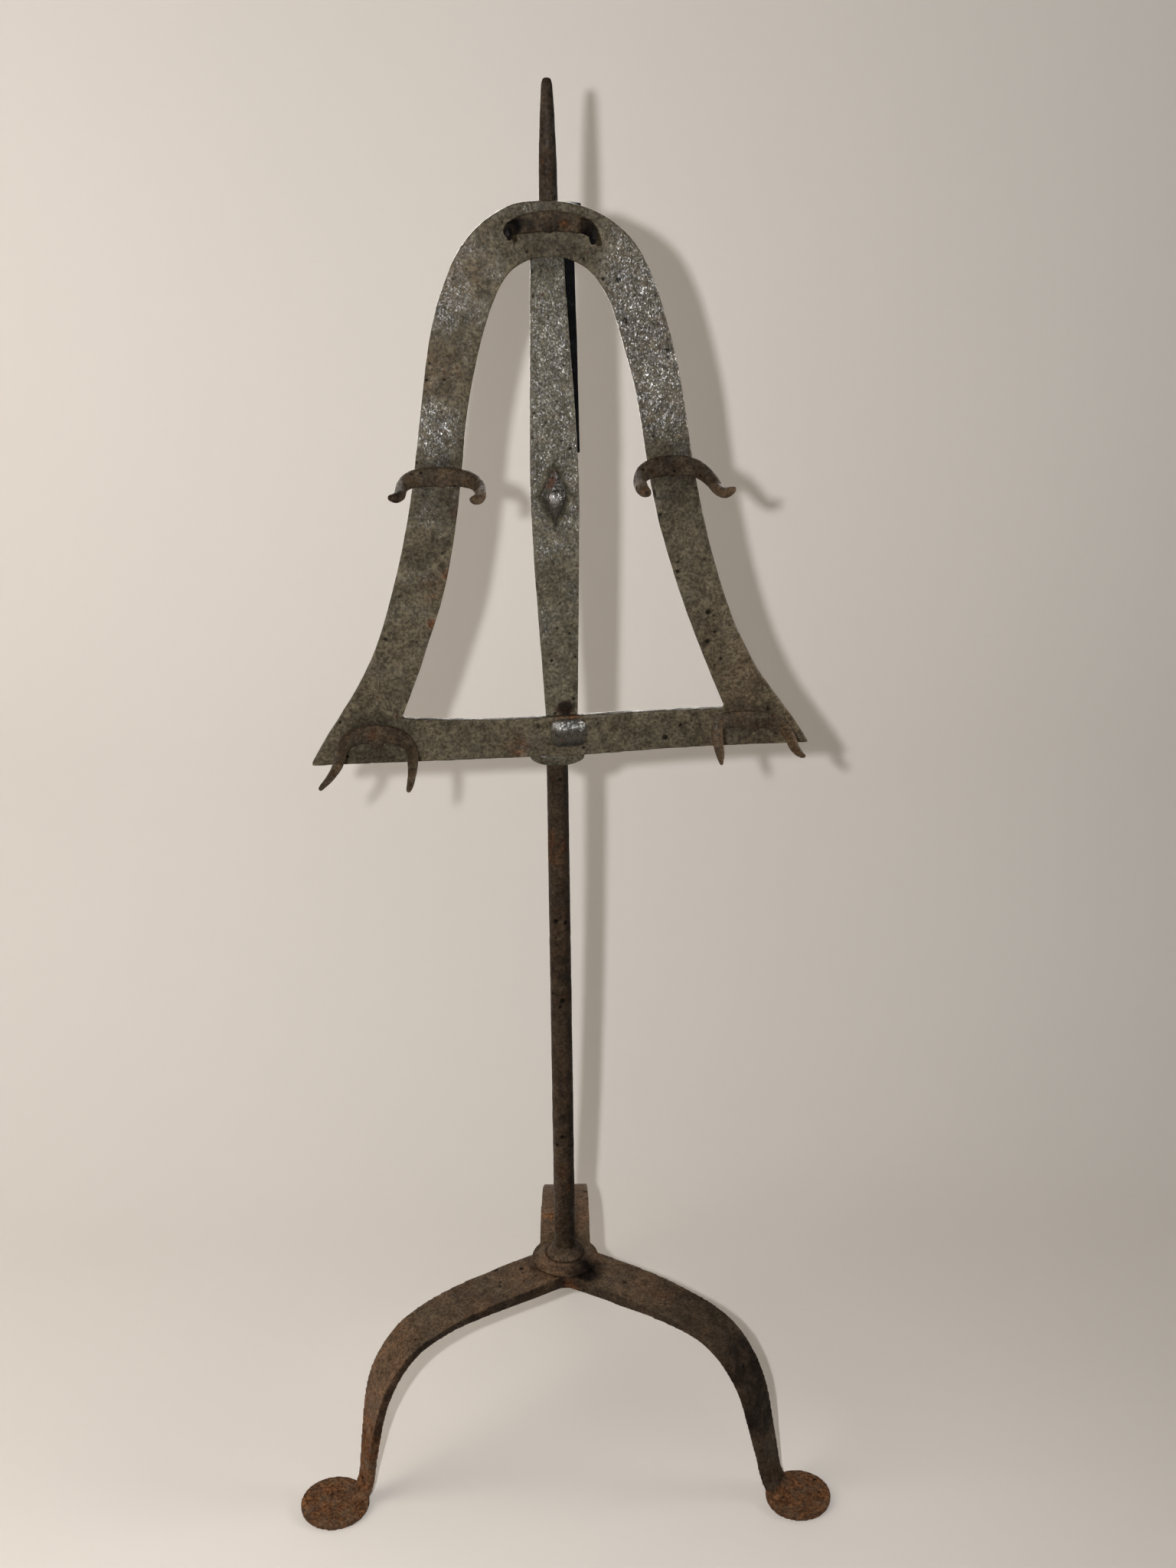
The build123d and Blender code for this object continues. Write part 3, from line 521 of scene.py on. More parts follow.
# ------------------------------------------------------------------ forging
def relief(points, seed, wobble, hammer, grain, pit, flat):
    """Height in mm (slow wobble, hammer facets, scale grain, rust pits) and the pit mask.

    On a flat bar the pits run through the thickness.
    """
    height = wobble * (0.75 * perlin(points / 31.0, seed)
                       + 0.35 * perlin(points / 12.0, seed + 1))
    warp = np.stack([perlin(points / 15.0, seed + 2)] * 3, 1)
    distance = worley(points / 10.5 + 0.35 * warp, seed + 3)[0]
    height += hammer * (np.minimum(distance, 1.0) ** 2 - 0.35)
    grains = fbm(points / 3.4, 3, seed + 4)
    height += grain * grains
    place = points
    if flat:
        place = np.stack([points @ ALONG, points[:, 2], (points @ OUT) * 0.2], 1)
    deep = pits(place, cell=9.0, radius=1.9, share=0.42, seed=seed + 7)
    small = pits(place, cell=4.4, radius=1.15, share=0.66, seed=seed + 8)
    mask = np.clip(1.7 * deep + 1.3 * small, 0, 1)
    # pits gather in patches
    patch = rise(fbm(points / 24.0, 2, seed + 9), -0.16, 0.22)
    mask *= 0.30 + 0.70 * patch
    height -= pit * mask
    return height, np.clip(mask * 1.1 + np.clip(-grains * 1.2 - 0.4, 0, 1) * 0.3, 0, 1)


def drawn_scale(points, seed):
    """Heavy scale drawn out aslant across the bar."""
    x, z = points @ ALONG, points[:, 2]
    place = np.stack([(x * 0.8 + z * 0.6) / 3.2, (z * 0.8 - x * 0.6) / 1.7,
                      (points @ OUT) / 2.4], 1)
    return fbm(place, 2, seed)


def edge_wear(points, normals, edges, voxel):
    """1 on outward edges."""
    curve = -((neighbour_mean(points, edges) - points) * normals).sum(1)
    for _ in range(3):
        curve = 0.5 * curve + 0.5 * neighbour_mean(curve, edges)
    return rise(curve / voxel, 0.02, 0.12)


def forge(name, nodes, iron, voxel, rounds, seed, wobble, hammer, grain, pit, solid=None,
          shape=None, masks=None, mute=None, coarse=None, tan=None, spark=0.3, soot_and_shade=0.0,
          painted_side_shade=0.0, flat=False):
    """Build one forged piece in place of its CAD nodes.

    solid stands in for the nodes' own solids, shape moves points, and mute scales the
    relief. masks gives rust, and soot with painted shade; coarse, tan and spark give heavy
    scale, tan colour and glitter. The side shade amount paints shade on the bars' sides.
    """
    thing = skinned(name, solid or cad_solid(nodes), voxel, rounds)
    mesh = thing.data
    points = verts_of(mesh) * 1000
    if shape is not None:
        points = shape(points)
        set_verts(mesh, points / 1000)
    normals = normals_of(mesh)
    height, cavity = relief(points, seed, wobble, hammer, grain, pit, flat)
    if coarse is not None:
        height = height + coarse(points) * 0.07 * drawn_scale(points, seed + 31)
    count = len(points)
    share = np.ones(count) if mute is None else mute(points, normals)
    wear = edge_wear(points, normals, edges_of(mesh), voxel)
    set_verts(mesh, (points + normals * (height * share)[:, None]) / 1000)
    rust, soot_and_shade = np.zeros(count), np.full(count, soot_and_shade)
    if masks is not None:
        rust, soot_and_shade = masks(points, normals, rust, soot_and_shade)
    # painted shade: the bars' sides are darkened, the right-hand sides most, and every underside
    # is darkened as well
    if painted_side_shade:
        lean = normals @ ALONG
        soot_and_shade = np.maximum(soot_and_shade, painted_side_shade * rise(1 - np.abs(normals @ OUT), 0.35, 0.75)
                          * (0.65 + 0.35 * np.sign(lean) * rise(np.abs(lean), 0.2, 0.6)))
    soot_and_shade = np.clip(soot_and_shade + 0.25 * rise(-normals[:, 2], 0.35, 0.9), 0, 1)
    tanned = np.zeros(count) if tan is None else np.clip(tan(points), 0, 1)
    sparks = spark(points) if callable(spark) else np.full(count, spark)
    for key, values in (("wear", wear), ("cav", cavity * share),
                        ("rust", np.clip(rust, 0, 1)), ("soot_and_shade", soot_and_shade), ("tan", tanned),
                        ("spark", np.clip(sparks, 0, 1.2))):
        float_attribute(mesh, key, values)
    mesh.materials.clear()
    mesh.materials.append(MATERIALS[iron])
    mesh.polygons.foreach_set("use_smooth", np.ones(len(mesh.polygons), bool))
    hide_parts(*nodes)
    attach(thing, BODY[nodes[0]])


# ------------------------------------------------------------------ arch and crossbar
# spots: strength, along, height, out, radius, soft share
FRAME_RUST = [
    (0.8, 5, 487, 19, 13, 0.7), (0.55, -64, 560, 18, 16, 0.8), (0.6, -56, 535, 18, 12, 0.8),
    (0.5, -50, 600, 18, 9, 0.8), (0.6, -22, 470, 19, 14, 0.8), (0.9, -57, 566, 19, 7, 0.8),
    (0.8, -66, 540, 19, 5, 0.8)]
# soot round each hook's rivet
FRAME_SOOT = [(0.12 if key == "top" else 0.40, x, z - 3, 19, 24, 0.6)
              for key, (x, z) in HOOKS.items()]
FRAME_TAN = [(0.35, -50, 722, 19, 26, 0.8), (0.30, -60, 672, 19, 24, 0.9),
             (0.30, 58, 690, 19, 9, 0.8)]


def frame_masks(points, normals, rust, soot_and_shade):
    return stain(rust, points, FRAME_RUST), stain(soot_and_shade, points, FRAME_SOOT)


def fuse_crossbar(points):
    """The crossbar's ends run a little into the arch, as the forge weld does."""
    stretch = 0.008
    return points + np.outer((points @ ALONG - CROSSBAR_MIDDLE) * stretch, ALONG)


def frame_tan(points):
    low_right = rise(points @ ALONG, 62, 100) * (1 - rise(points[:, 2], 520, 560))
    tan = np.maximum(stain(0.0, points, FRAME_TAN), 0.30 * low_right)
    return tan * (0.5 + 0.5 * rise(perlin(points / 9, 321), -0.2, 0.3))


def frame_coarse(points):
    """Heaviest on the upper right."""
    amount = 0.35 + 0.5 * perlin(points / 26, 301)
    amount += 1.0 * rise(points @ ALONG, 18, 34) * rise(points[:, 2], 628, 652)
    amount += 0.7 * ball(points, at_frame(-62, 645, 19), 20, 0.7)
    return np.clip(amount, 0, 1.3)


def frame_spark(points):
    """Brightest on the upper right, dull at the very top and low down."""
    x, z = points @ ALONG, points[:, 2]
    spark = 0.03 + 0.55 * np.clip(perlin(points / 15, 311), 0, 1)
    spark += (0.95 * rise(x, 20, 36) * rise(z, 622, 664) * (1 - 0.75 * rise(z, 706, 736))
              * (0.55 + 0.6 * rise(perlin(points / 11, 317), -0.35, 0.25)))
    spark += 0.85 * ball(points, at_frame(-62, 642, 19), 19, 0.8)
    spark += 0.45 * ball(points, at_frame(-56, 705, 19), 20, 0.8)
    spark *= 1 - 0.7 * ball(points, at_frame(-1, 738, 19), 38, 0.5)
    spark *= 1 - 0.45 * rise(-z, -600, -560)
    return spark


# what the frame's flat bars share
FLAT_BAR = dict(voxel=0.7, rounds=2, wobble=0.22, hammer=0.17, grain=0.09, flat=True,
                painted_side_shade=0.85)

forge("bell_frame", ["bell_arch", "crossbar"], "iron_frame", seed=11, pit=0.40,
      solid=cad_solid(["bell_arch", "crossbar"], {"crossbar": fuse_crossbar}),
      masks=frame_masks, tan=frame_tan, coarse=frame_coarse, spark=frame_spark, **FLAT_BAR)


# ------------------------------------------------------------------ centre bar
BAR_RUST = [(0.8, 4, 488, 14, 10, 0.8)]
BAR_SOOT = [(0.5, 2, 735, 14, 22, 0.6), (0.85, 4, 488.5, 14.5, 6, 0.5)]


def bar_mute(points, normals):
    # the eye stays clear of the upright
    return np.where((points[:, 2] < 461) & (from_axis(points) < 9.5), 0.15, 1.0)


def bar_masks(points, normals, rust, soot_and_shade):
    soot_and_shade = stain(soot_and_shade, points, BAR_SOOT)
    soot_and_shade = np.maximum(soot_and_shade, 0.30 * rise(-points[:, 2], -462, -458))
    # painted shade in the corner round the rove
    corner = 1 - rise(diamond(points), 1.02, 1.34)
    soot_and_shade = np.maximum(soot_and_shade, (0.55 + 0.35 * perlin(points / 4.0, 513)) * corner
                      * rise(points @ OUT, 10, 12))
    return stain(rust, points, BAR_RUST), soot_and_shade


def bar_spark(points):
    """None under the rove; brightest at mid height, weaker towards the foot."""
    z = points[:, 2]
    return (rise(diamond(points), 1.1, 1.6)
            * (0.05 + 0.6 * np.clip(perlin(points / 13, 313), 0, 1)
               + 0.34 * rise(z, 555, 600) * (1 - rise(z, 690, 720)))
            * (0.4 + 0.6 * rise(z, 470, 540)))


def bar_coarse(points):
    return np.clip(0.4 + 0.6 * perlin(points / 22, 305) + 0.3 * rise(points[:, 2], 560, 640),
                   0, 1)


forge("centre_bar_forged", ["centre_bar"], "iron_centre", seed=23, pit=0.42,
      masks=bar_masks, mute=bar_mute, spark=bar_spark, coarse=bar_coarse, **FLAT_BAR)


# ------------------------------------------------------------------ spring leaf
def leaf_mute(points, normals):
    # nearly smooth at its top round the upright
    return np.where((points[:, 2] > 740) & (from_axis(points) < 9.0), 0.1, 0.35)


forge("spring_leaf_forged", ["spring_leaf"], "iron_spring", voxel=0.55, rounds=1, seed=31,
      wobble=0.2, hammer=0.2, grain=0.12, pit=0.2, mute=leaf_mute, soot_and_shade=0.35)


# ------------------------------------------------------------------ upright
TENON_Z = (110.5, 125.4)
TENON_RADIUS = 4.55
# spots: strength, x, y, z, radius, soft share
ROD_RUST = [(0.7, -6, -3, 400, 30, 0.9), (0.5, 0, -5, 180, 40, 0.9)]


def rod_shape(points):
    """The tenon is held to its radius, and what is wider there draws back from its middle."""
    radius, z = from_axis(points), points[:, 2]
    tenon = (z > TENON_Z[0]) & (z < TENON_Z[1])
    near = tenon & (radius < 6.0)
    upper = tenon & (radius >= 6.0) & (z > 120)
    lower = tenon & (radius >= 6.0) & (z < 115)
    shrink = np.where(near, np.minimum(1.0, TENON_RADIUS / np.maximum(radius, 1e-6)), 1.0)
    points = points.copy()
    points[:, :2] *= shrink[:, None]
    points[upper, 2] += 0.25
    points[lower, 2] -= 0.35
    return points


def rod_mute(points, normals):
    # the foot stays smooth
    z = points[:, 2]
    return np.where(z < 126.5, 0.0, 1.0) * (0.35 + 0.65 * rise(z, 126, 140))


def rod_masks(points, normals, rust, soot_and_shade):
    rust = np.maximum(rust, 0.35 + 0.35 * perlin(points / 30, 77))
    # painted shade: black on the right side
    soot_and_shade = np.maximum(soot_and_shade, 0.70 * rise(normals[:, 0], 0.15, 0.75))
    return stain(rust, points, ROD_RUST, on_frame=False), soot_and_shade


# painted light: the upright's left side made lighter low down
def rod_left_painted_light(normals_x, z):
    return 0.35 * rise(-normals_x, 0.0, 0.7) * (1 - rise(z, 160, 330))


class RodMasks:
    """Keeps the upright's normals from the rust, soot and painted shade step for the tan and
    painted light step.
    """

    def masks(self, points, normals, rust, soot_and_shade):
        self.normals = normals
        return rod_masks(points, normals, rust, soot_and_shade)

    def tan(self, points):
        """Tan at the foot, and painted light low on the left side."""
        z = points[:, 2]
        return 0.75 * (1 - rise(z, 127.5, 134)) + rod_left_painted_light(self.normals[:, 0], z)


rod = RodMasks()
forge("upright_forged", ["upright_rod"], "iron_upright", voxel=0.7, rounds=1, seed=41,
      wobble=0.16, hammer=0.16, grain=0.10, pit=0.22, shape=rod_shape, mute=rod_mute,
      masks=rod.masks, tan=rod.tan)


# ------------------------------------------------------------------ legs
# feet: x, y, radius
FEET = ((-142.1, -76.5, 20.6), (139.4, -78.7, 19.6), (1.0, 161.0, 20.4))
# spots: strength, x, y, z, radius, soft share
LEG_RUST = [(0.95, -121, -70, 45, 30, 0.9), (0.8, -126, -72, 18, 22, 0.8),
            (0.85, 3, -20, 115, 11, 0.8), (0.95, -9, 40, 125, 9, 0.9)]
# the second spot, on the hub to the right of the upright, is painted shade
LEG_SOOT_AND_SHADE = [(0.85, 116, -66, 74, 56, 0.6), (0.98, 12, -14, 121, 17, 0.7),
            (0.55, -19.5, -10, 121, 4.5, 0.6)]
LEG_TAN = [(0.45, -16, -14, 122, 40, 0.8), (0.60, -11, -9, 124, 13, 0.7)]


def leg_mute(points, normals):
    # smooth round the upright, and the soles stay flat on the floor
    z = points[:, 2]
    eye = (from_axis(points) < 7.5) & (z > 100)
    sole = (normals[:, 2] < -0.9) & (z < 2)
    return np.where(eye | sole, 0.0, 1.0) * rise(z, 0.2, 1.6)


def leg_masks(points, normals, rust, soot_and_shade):
    x, y, z = points.T
    rust = np.maximum(rust, 0.16 + 0.30 * perlin(points / 34, 71))
    rust = stain(rust, points, LEG_RUST, on_frame=False)
    # each foot sets every low point afresh, so there the last foot counts
    for foot_x, foot_y, radius in FEET:
        distance = np.hypot(x - foot_x, y - foot_y)
        rim = 0.02 + 0.75 * rise(distance, radius * 0.84, radius)
        rust = np.where(z < 8, rim, rust)
        rust = np.maximum(rust, 1.0 - rise(distance, 1.0, 6.5))
    soot_and_shade = stain(soot_and_shade, points, LEG_SOOT_AND_SHADE, on_frame=False)
    soot_and_shade = np.maximum(soot_and_shade, 0.55 * rise(x, 30, 90) * (z > 8))
    # painted shade: the front faces are darkened, more so on the left leg
    soot_and_shade = np.maximum(soot_and_shade, np.where(x < 0, 0.75, 0.45) * rise(-normals[:, 1], 0.45, 0.8)
                      * rise(z, 12, 60))
    return rust, soot_and_shade


def leg_tan(points):
    """Strongest down the left leg, round the upright's foot and on the rear leg."""
    x, y, z = points.T
    tan = 0.22 + 0.30 * perlin(points / 20, 403)
    tan = np.maximum(tan, 0.85 * rise(-x, 70, 112)
                     * (0.6 + 0.4 * rise(perlin(points / 16, 401), -0.3, 0.3)))
    tan = stain(tan, points, LEG_TAN, on_frame=False)
    tan = np.maximum(tan, 0.60 * rise(y, 12, 30))
    return np.where((z < 6) & (from_axis(points) > 60), 0.30, tan)


def hub_mound(points):
    """The rear leg's eye is drawn up in a low mound round the upright, its rim hammered down."""
    radius, z = from_axis(points), points[:, 2]
    top = rise(z, 122.6, 124.9) * (radius < 22)
    lift = (1.5 * rise(radius, 11.8, 12.5) * (1 - rise(radius, 12.5, 17.0))
            - 2.3 * rise(radius, 13.5, 19.4))
    points = points.copy()
    points[:, 2] = z + top * lift
    return points


LEG = dict(iron="iron_legs", voxel=0.95, rounds=3, wobble=0.25, hammer=0.16, grain=0.15,
           pit=0.30, mute=leg_mute, masks=leg_masks, tan=leg_tan)
forge("front_legs_forged", ["front_legs"], seed=53, **LEG)
forge("rear_leg_forged", ["rear_leg"], seed=59, shape=hub_mound, **LEG)


# ------------------------------------------------------------------ hooks and their rivets
# One strap drawn out to a prong at each end and bent forward, swept from tip to tip.
# Stations: along, height, out, half height, half thickness.
STRAP = 21.2                    # middle of the strap, out
HOOK_BACK = 18.95               # no part of a hook lies behind this, out
RING_POINTS = 20
STATION_STEP = 0.9
HOOK_PATHS = {
    "top": [
        (-22.4, 737.6, 61.0, 1.3, 1.2), (-22.0, 738.2, 44.0, 2.1, 1.9),
        (-21.4, 738.8, 31.0, 2.7, 2.4), (-19.4, 739.6, 24.8, 3.4, 2.5),
        (-13.4, 741.0, 21.7, 4.5, 2.3), (-1.0, 742.3, STRAP, 4.9, 2.2),
        (11.8, 740.9, 21.7, 4.5, 2.3), (17.0, 739.2, 24.8, 3.6, 2.6),
        (18.9, 737.6, 31.0, 2.9, 2.6), (18.4, 736.2, 44.0, 2.3, 2.1),
        (17.2, 735.0, 59.0, 1.4, 1.3)],
    "left": [
        (-84.0, 614.9, 54.0, 1.6, 1.7), (-81.4, 614.0, 50.6, 2.6, 2.6),
        (-79.4, 614.1, 46.0, 2.9, 2.9), (-79.0, 614.6, 39.0, 3.0, 2.9),
        (-78.0, 615.6, 30.5, 3.4, 3.1), (-75.0, 617.0, 24.6, 4.1, 2.9),
        (-69.5, 617.8, 21.8, 4.7, 2.4), (-59.0, 617.9, STRAP, 5.0, 2.2),
        (-48.5, 617.2, 21.8, 4.7, 2.4), (-42.6, 616.0, 24.8, 4.1, 3.0),
        (-39.6, 614.2, 31.5, 3.6, 3.3), (-38.9, 612.9, 40.0, 3.2, 3.1),
        (-39.9, 612.0, 47.0, 2.9, 2.9), (-42.4, 612.2, 51.5, 2.4, 2.3),
        (-44.0, 612.8, 52.5, 1.5, 1.5)],
    "right": [
        (44.6, 613.6, 52.5, 2.0, 2.0), (43.0, 613.7, 49.0, 3.1, 3.0),
        (42.2, 614.4, 42.0, 3.5, 3.3), (42.5, 615.8, 32.0, 3.8, 3.4),
        (45.0, 617.8, 25.0, 4.4, 3.0), (50.5, 619.8, 21.9, 4.9, 2.5),
        (60.2, 620.8, STRAP, 5.2, 2.3), (70.0, 620.0, 21.9, 4.9, 2.5),
        (75.4, 617.9, 24.8, 4.2, 3.0), (79.6, 614.6, 32.0, 3.6, 3.3),
        (81.6, 612.0, 41.0, 3.2, 3.1), (84.0, 611.9, 48.6, 2.8, 2.7),
        (86.6, 613.6, 51.8, 2.3, 2.1), (88.2, 615.0, 52.6, 1.3, 1.2)],
    "lower_left": [
        (-126.6, 467.5, 68.0, 1.2, 1.2), (-121.6, 470.0, 58.0, 2.2, 2.2),
        (-118.2, 472.6, 46.5, 2.8, 2.8), (-116.9, 474.9, 33.5, 3.2, 3.1),
        (-114.4, 477.2, 25.2, 3.9, 2.8), (-108.5, 479.2, 21.9, 4.6, 2.4),
        (-98.8, 480.2, STRAP, 4.9, 2.2), (-88.6, 478.8, 21.9, 4.6, 2.4),
        (-82.2, 475.8, 25.4, 3.9, 2.8), (-79.5, 472.8, 34.2, 3.3, 3.0),
        (-79.2, 470.0, 48.0, 2.9, 2.7), (-80.0, 467.3, 59.5, 2.3, 2.1),
        (-81.4, 465.0, 68.5, 1.4, 1.4)],
    "lower_right": [
        (80.8, 475.2, 73.5, 0.9, 0.9), (81.6, 476.6, 63.5, 2.3, 2.2),
        (82.5, 478.4, 50.0, 2.9, 2.8), (84.2, 480.2, 34.5, 3.3, 3.1),
        (88.0, 481.2, 25.2, 4.0, 2.8), (94.6, 481.2, 21.9, 4.6, 2.4),
        (105.4, 480.8, STRAP, 4.9, 2.2), (115.4, 479.4, 21.9, 4.6, 2.4),
        (121.2, 477.2, 25.4, 3.9, 2.8), (124.0, 474.6, 33.5, 3.2, 3.0),
        (124.8, 472.0, 43.0, 2.7, 2.6), (126.6, 470.6, 51.0, 2.0, 1.9),
        (128.4, 470.4, 54.0, 1.0, 1.0)],
}
# spots: strength, along, height, out, radius, soft share
HOOK_RUST = {"top": [(0.8, 6.2, 741.5, 23, 6, 0.9)],
             "lower_left": [(0.9, -101, 481, 24, 7, 0.8)]}
HOOK_SOOT = {"right": [(0.45, 54, 618, 23, 18, 0.7)]}


def hook_masks(key):
    def masks(points, normals, rust, soot_and_shade):
        out = points @ OUT
        rust = np.maximum(rust, 0.25 + 0.4 * perlin(points / 12, 91))
        # tips rub clean and rust
        rust = np.maximum(rust, 0.45 * rise(out, 34, 50))
        soot_and_shade = soot_and_shade * (1 - 0.6 * rise(out, 34, 46))
        if key == "top":
            soot_and_shade = np.maximum(soot_and_shade, rise(out, 23.4, 25.5))
            rust = rust * 0.5
        if key == "left":
            outer_tip = rise(-(points @ ALONG), 74, 80) * rise(out, 40, 48)
            soot_and_shade = np.maximum(soot_and_shade, 0.7 * outer_tip)
        return (stain(rust, points, HOOK_RUST.get(key, [])),
                stain(soot_and_shade, points, HOOK_SOOT.get(key, [])))
    return masks


def hook_tan(key):
    def tan(points):
        out = points @ OUT
        amount = 0.30 + 0.5 * perlin(points / 10, 501)
        if key == "lower_right":
            amount = np.maximum(amount, 0.85 * rise(out, 24, 32))
        if key in ("left", "right"):
            amount = np.maximum(amount, 0.55 * rise(out, 30, 46)
                                * rise(points @ ALONG, -75, -60))
        return amount
    return tan


def hook_stations(path):
    """A smooth curve through the path's points, in short even steps."""
    path = np.array(path, float)
    ends = np.vstack([path[0], path, path[-1]])
    rows = []
    for before, start, end, after in zip(ends, ends[1:], ends[2:], ends[3:]):
        steps = max(3, int(np.linalg.norm((end - start)[:3]) / STATION_STEP))
        for k in range(steps):
            t = k / steps
            rows.append(0.5 * (2 * start + (end - before) * t
                               + (2 * before - 5 * start + 4 * end - after) * t * t
                               + (3 * start - before - 3 * end + after) * t ** 3))
    return np.array(rows + [path[-1]])


def swept_hook(path):
    """Section rings along the path, closed at the tips, in metres."""
    rows = hook_stations(path)
    centres = np.array([at_frame(*row[:3]) for row in rows])
    tangents = np.gradient(centres, axis=0)
    tangents /= np.linalg.norm(tangents, axis=1)[:, None]
    verts, faces = [], []
    for centre, tangent, (_, _, out, half_height, half_thick) in zip(centres, tangents, rows):
        up = np.array([0, 0, 1.0])
        up = up - tangent * (up @ tangent)
        up /= np.linalg.norm(up)
        side = np.cross(up, tangent)
        # a strap is squarer than a prong
        power = 0.62 + 0.38 * min(1.0, max(0.0, (out - 24) / 10))
        for k in range(RING_POINTS):
            angle = 2 * math.pi * k / RING_POINTS
            cos, sin = math.cos(angle), math.sin(angle)
            rise_up = math.copysign(abs(cos) ** power, cos) * half_height
            aside = math.copysign(abs(sin) ** power, sin) * half_thick
            verts.append(centre + up * rise_up + side * aside)
    last = (len(rows) - 1) * RING_POINTS
    around = [(k, (k + 1) % RING_POINTS) for k in range(RING_POINTS)]
    for ring in range(0, last, RING_POINTS):
        for k, after in around:
            faces.append((ring + k, ring + after, ring + after + RING_POINTS,
                          ring + k + RING_POINTS))
    verts.append(centres[0] - tangents[0] * rows[0][4] * 0.8)
    verts.append(centres[-1] + tangents[-1] * rows[-1][4] * 0.8)
    for k, after in around:
        faces.append((len(verts) - 2, after, k))
        faces.append((len(verts) - 1, last + k, last + after))
    return np.array(verts) / 1000, faces


def hook_shape(points):
    # nothing of a hook enters the bar it lies on
    return points + np.outer(np.maximum(HOOK_BACK - points @ OUT, 0), OUT)


def rivet_shape(points):
    """Heads driven down flatter."""
    out = points @ OUT
    return points - np.outer(rise(out, 22.2, 23.3) * (1.0 + 0.55 * (out - 23.4)), OUT)


for i, key in enumerate(HOOKS):
    look = dict(iron="iron_hooks", rounds=2, masks=hook_masks(key), tan=hook_tan(key),
                soot_and_shade=0.10, spark=0.35)
    forge("hook_" + key + "_forged", ["hook_" + key], voxel=0.5, seed=61 + i, wobble=0.30,
          hammer=0.28, grain=0.20, pit=0.26, solid=swept_hook(HOOK_PATHS[key]),
          shape=hook_shape, **look)
    forge("rivet_" + key + "_forged", ["rivet_" + key], voxel=0.36, seed=81 + i,
          wobble=0.45, hammer=0.25, grain=0.25, pit=0.2, shape=rivet_shape, **look)


# ------------------------------------------------------------------ diamond boss
BOSS_RUST = [(0.9, -3.5, 613, 17, 7.5, 0.7), (0.9, -0.5, 618.5, 16, 4.5, 0.7)]


def from_boss(points):
    return np.hypot(points @ ALONG, points[:, 2] - BOSS_Z)


def boss_shape(points):
    """The rove rises as a pyramid to the rivet's rounded head."""
    out = points @ OUT
    peak = np.clip(1 - diamond(points, half_width=7.9, half_height=15.2), 0, 1)
    lift = rise(out, 15.0, 16.5) * (1.9 * peak ** 0.8)
    return points + np.outer(np.where(out < 19.5, lift, lift * 0.9), OUT)


def boss_masks(points, normals, rust, soot_and_shade):
    """Painted shade round the head, heavier on its right, and along the rove's rim."""
    distance = from_boss(points)
    soot_and_shade = np.maximum(soot_and_shade, 0.55 * rise(distance, 4.2, 6.0) * rise(points @ ALONG, -1.0, 2.0))
    soot_and_shade = np.maximum(soot_and_shade, 0.30 * rise(distance, 3.9, 5.0))
    soot_and_shade = np.maximum(soot_and_shade, (0.50 + 0.30 * perlin(points / 3.0, 511))
                      * rise(diamond(points), 0.72, 0.98))
    return stain(rust, points, BOSS_RUST), soot_and_shade


def boss_spark(points):
    return 0.45 + 0.55 * (1 - rise(from_boss(points), 3.6, 4.6))


forge("diamond_boss_forged", ["diamond_rove", "spring_rivet"], "iron_rivets", voxel=0.36,
      rounds=2, seed=91, wobble=0.16, hammer=0.16, grain=0.20, pit=0.2,
      shape=boss_shape, masks=boss_masks, spark=boss_spark)


# ------------------------------------------------------------------ crossbar rivet
def big_rivet_shape(points):
    """Head driven down harder on its lower half."""
    x, z = points @ ALONG - BIG_RIVET[0], points[:, 2] - BIG_RIVET[1]
    head = rise(points @ OUT, 19.5, 22.0)
    return points + np.outer(head * (0.10 * np.clip(z, -7, 7) - 0.006 * x * x), OUT)


def big_rivet_masks(points, normals, rust, soot_and_shade):
    x, z = points @ ALONG - BIG_RIVET[0], points[:, 2] - BIG_RIVET[1]
    # painted shade: the head's lower half and its right edge are darkened
    soot_and_shade = np.maximum(soot_and_shade, 0.5 * rise(-z, 1.0, 6.0))
    return rust, np.maximum(soot_and_shade, 0.7 * rise(x, 8.0, 10.6))


def big_rivet_spark(points):
    return 0.12 + 0.55 * rise(points[:, 2], 477, 481)


forge("crossbar_rivet_forged", ["crossbar_rivet"], "iron_rivets", voxel=0.5, rounds=8,
      seed=95, wobble=0.5, hammer=0.40, grain=0.24, pit=0.35,
      shape=big_rivet_shape, masks=big_rivet_masks, spark=big_rivet_spark)


# ------------------------------------------------------------------ floor and backdrop
SURROUND = (0.63, 0.595, 0.555)
PAPER = (0.70, 0.662, 0.622)
BEND_START = 0.19               # y where the floor begins to curve up
BEND_RADIUS = 0.28
BEND_STEPS = 16
HALF_WIDTH = 4.0


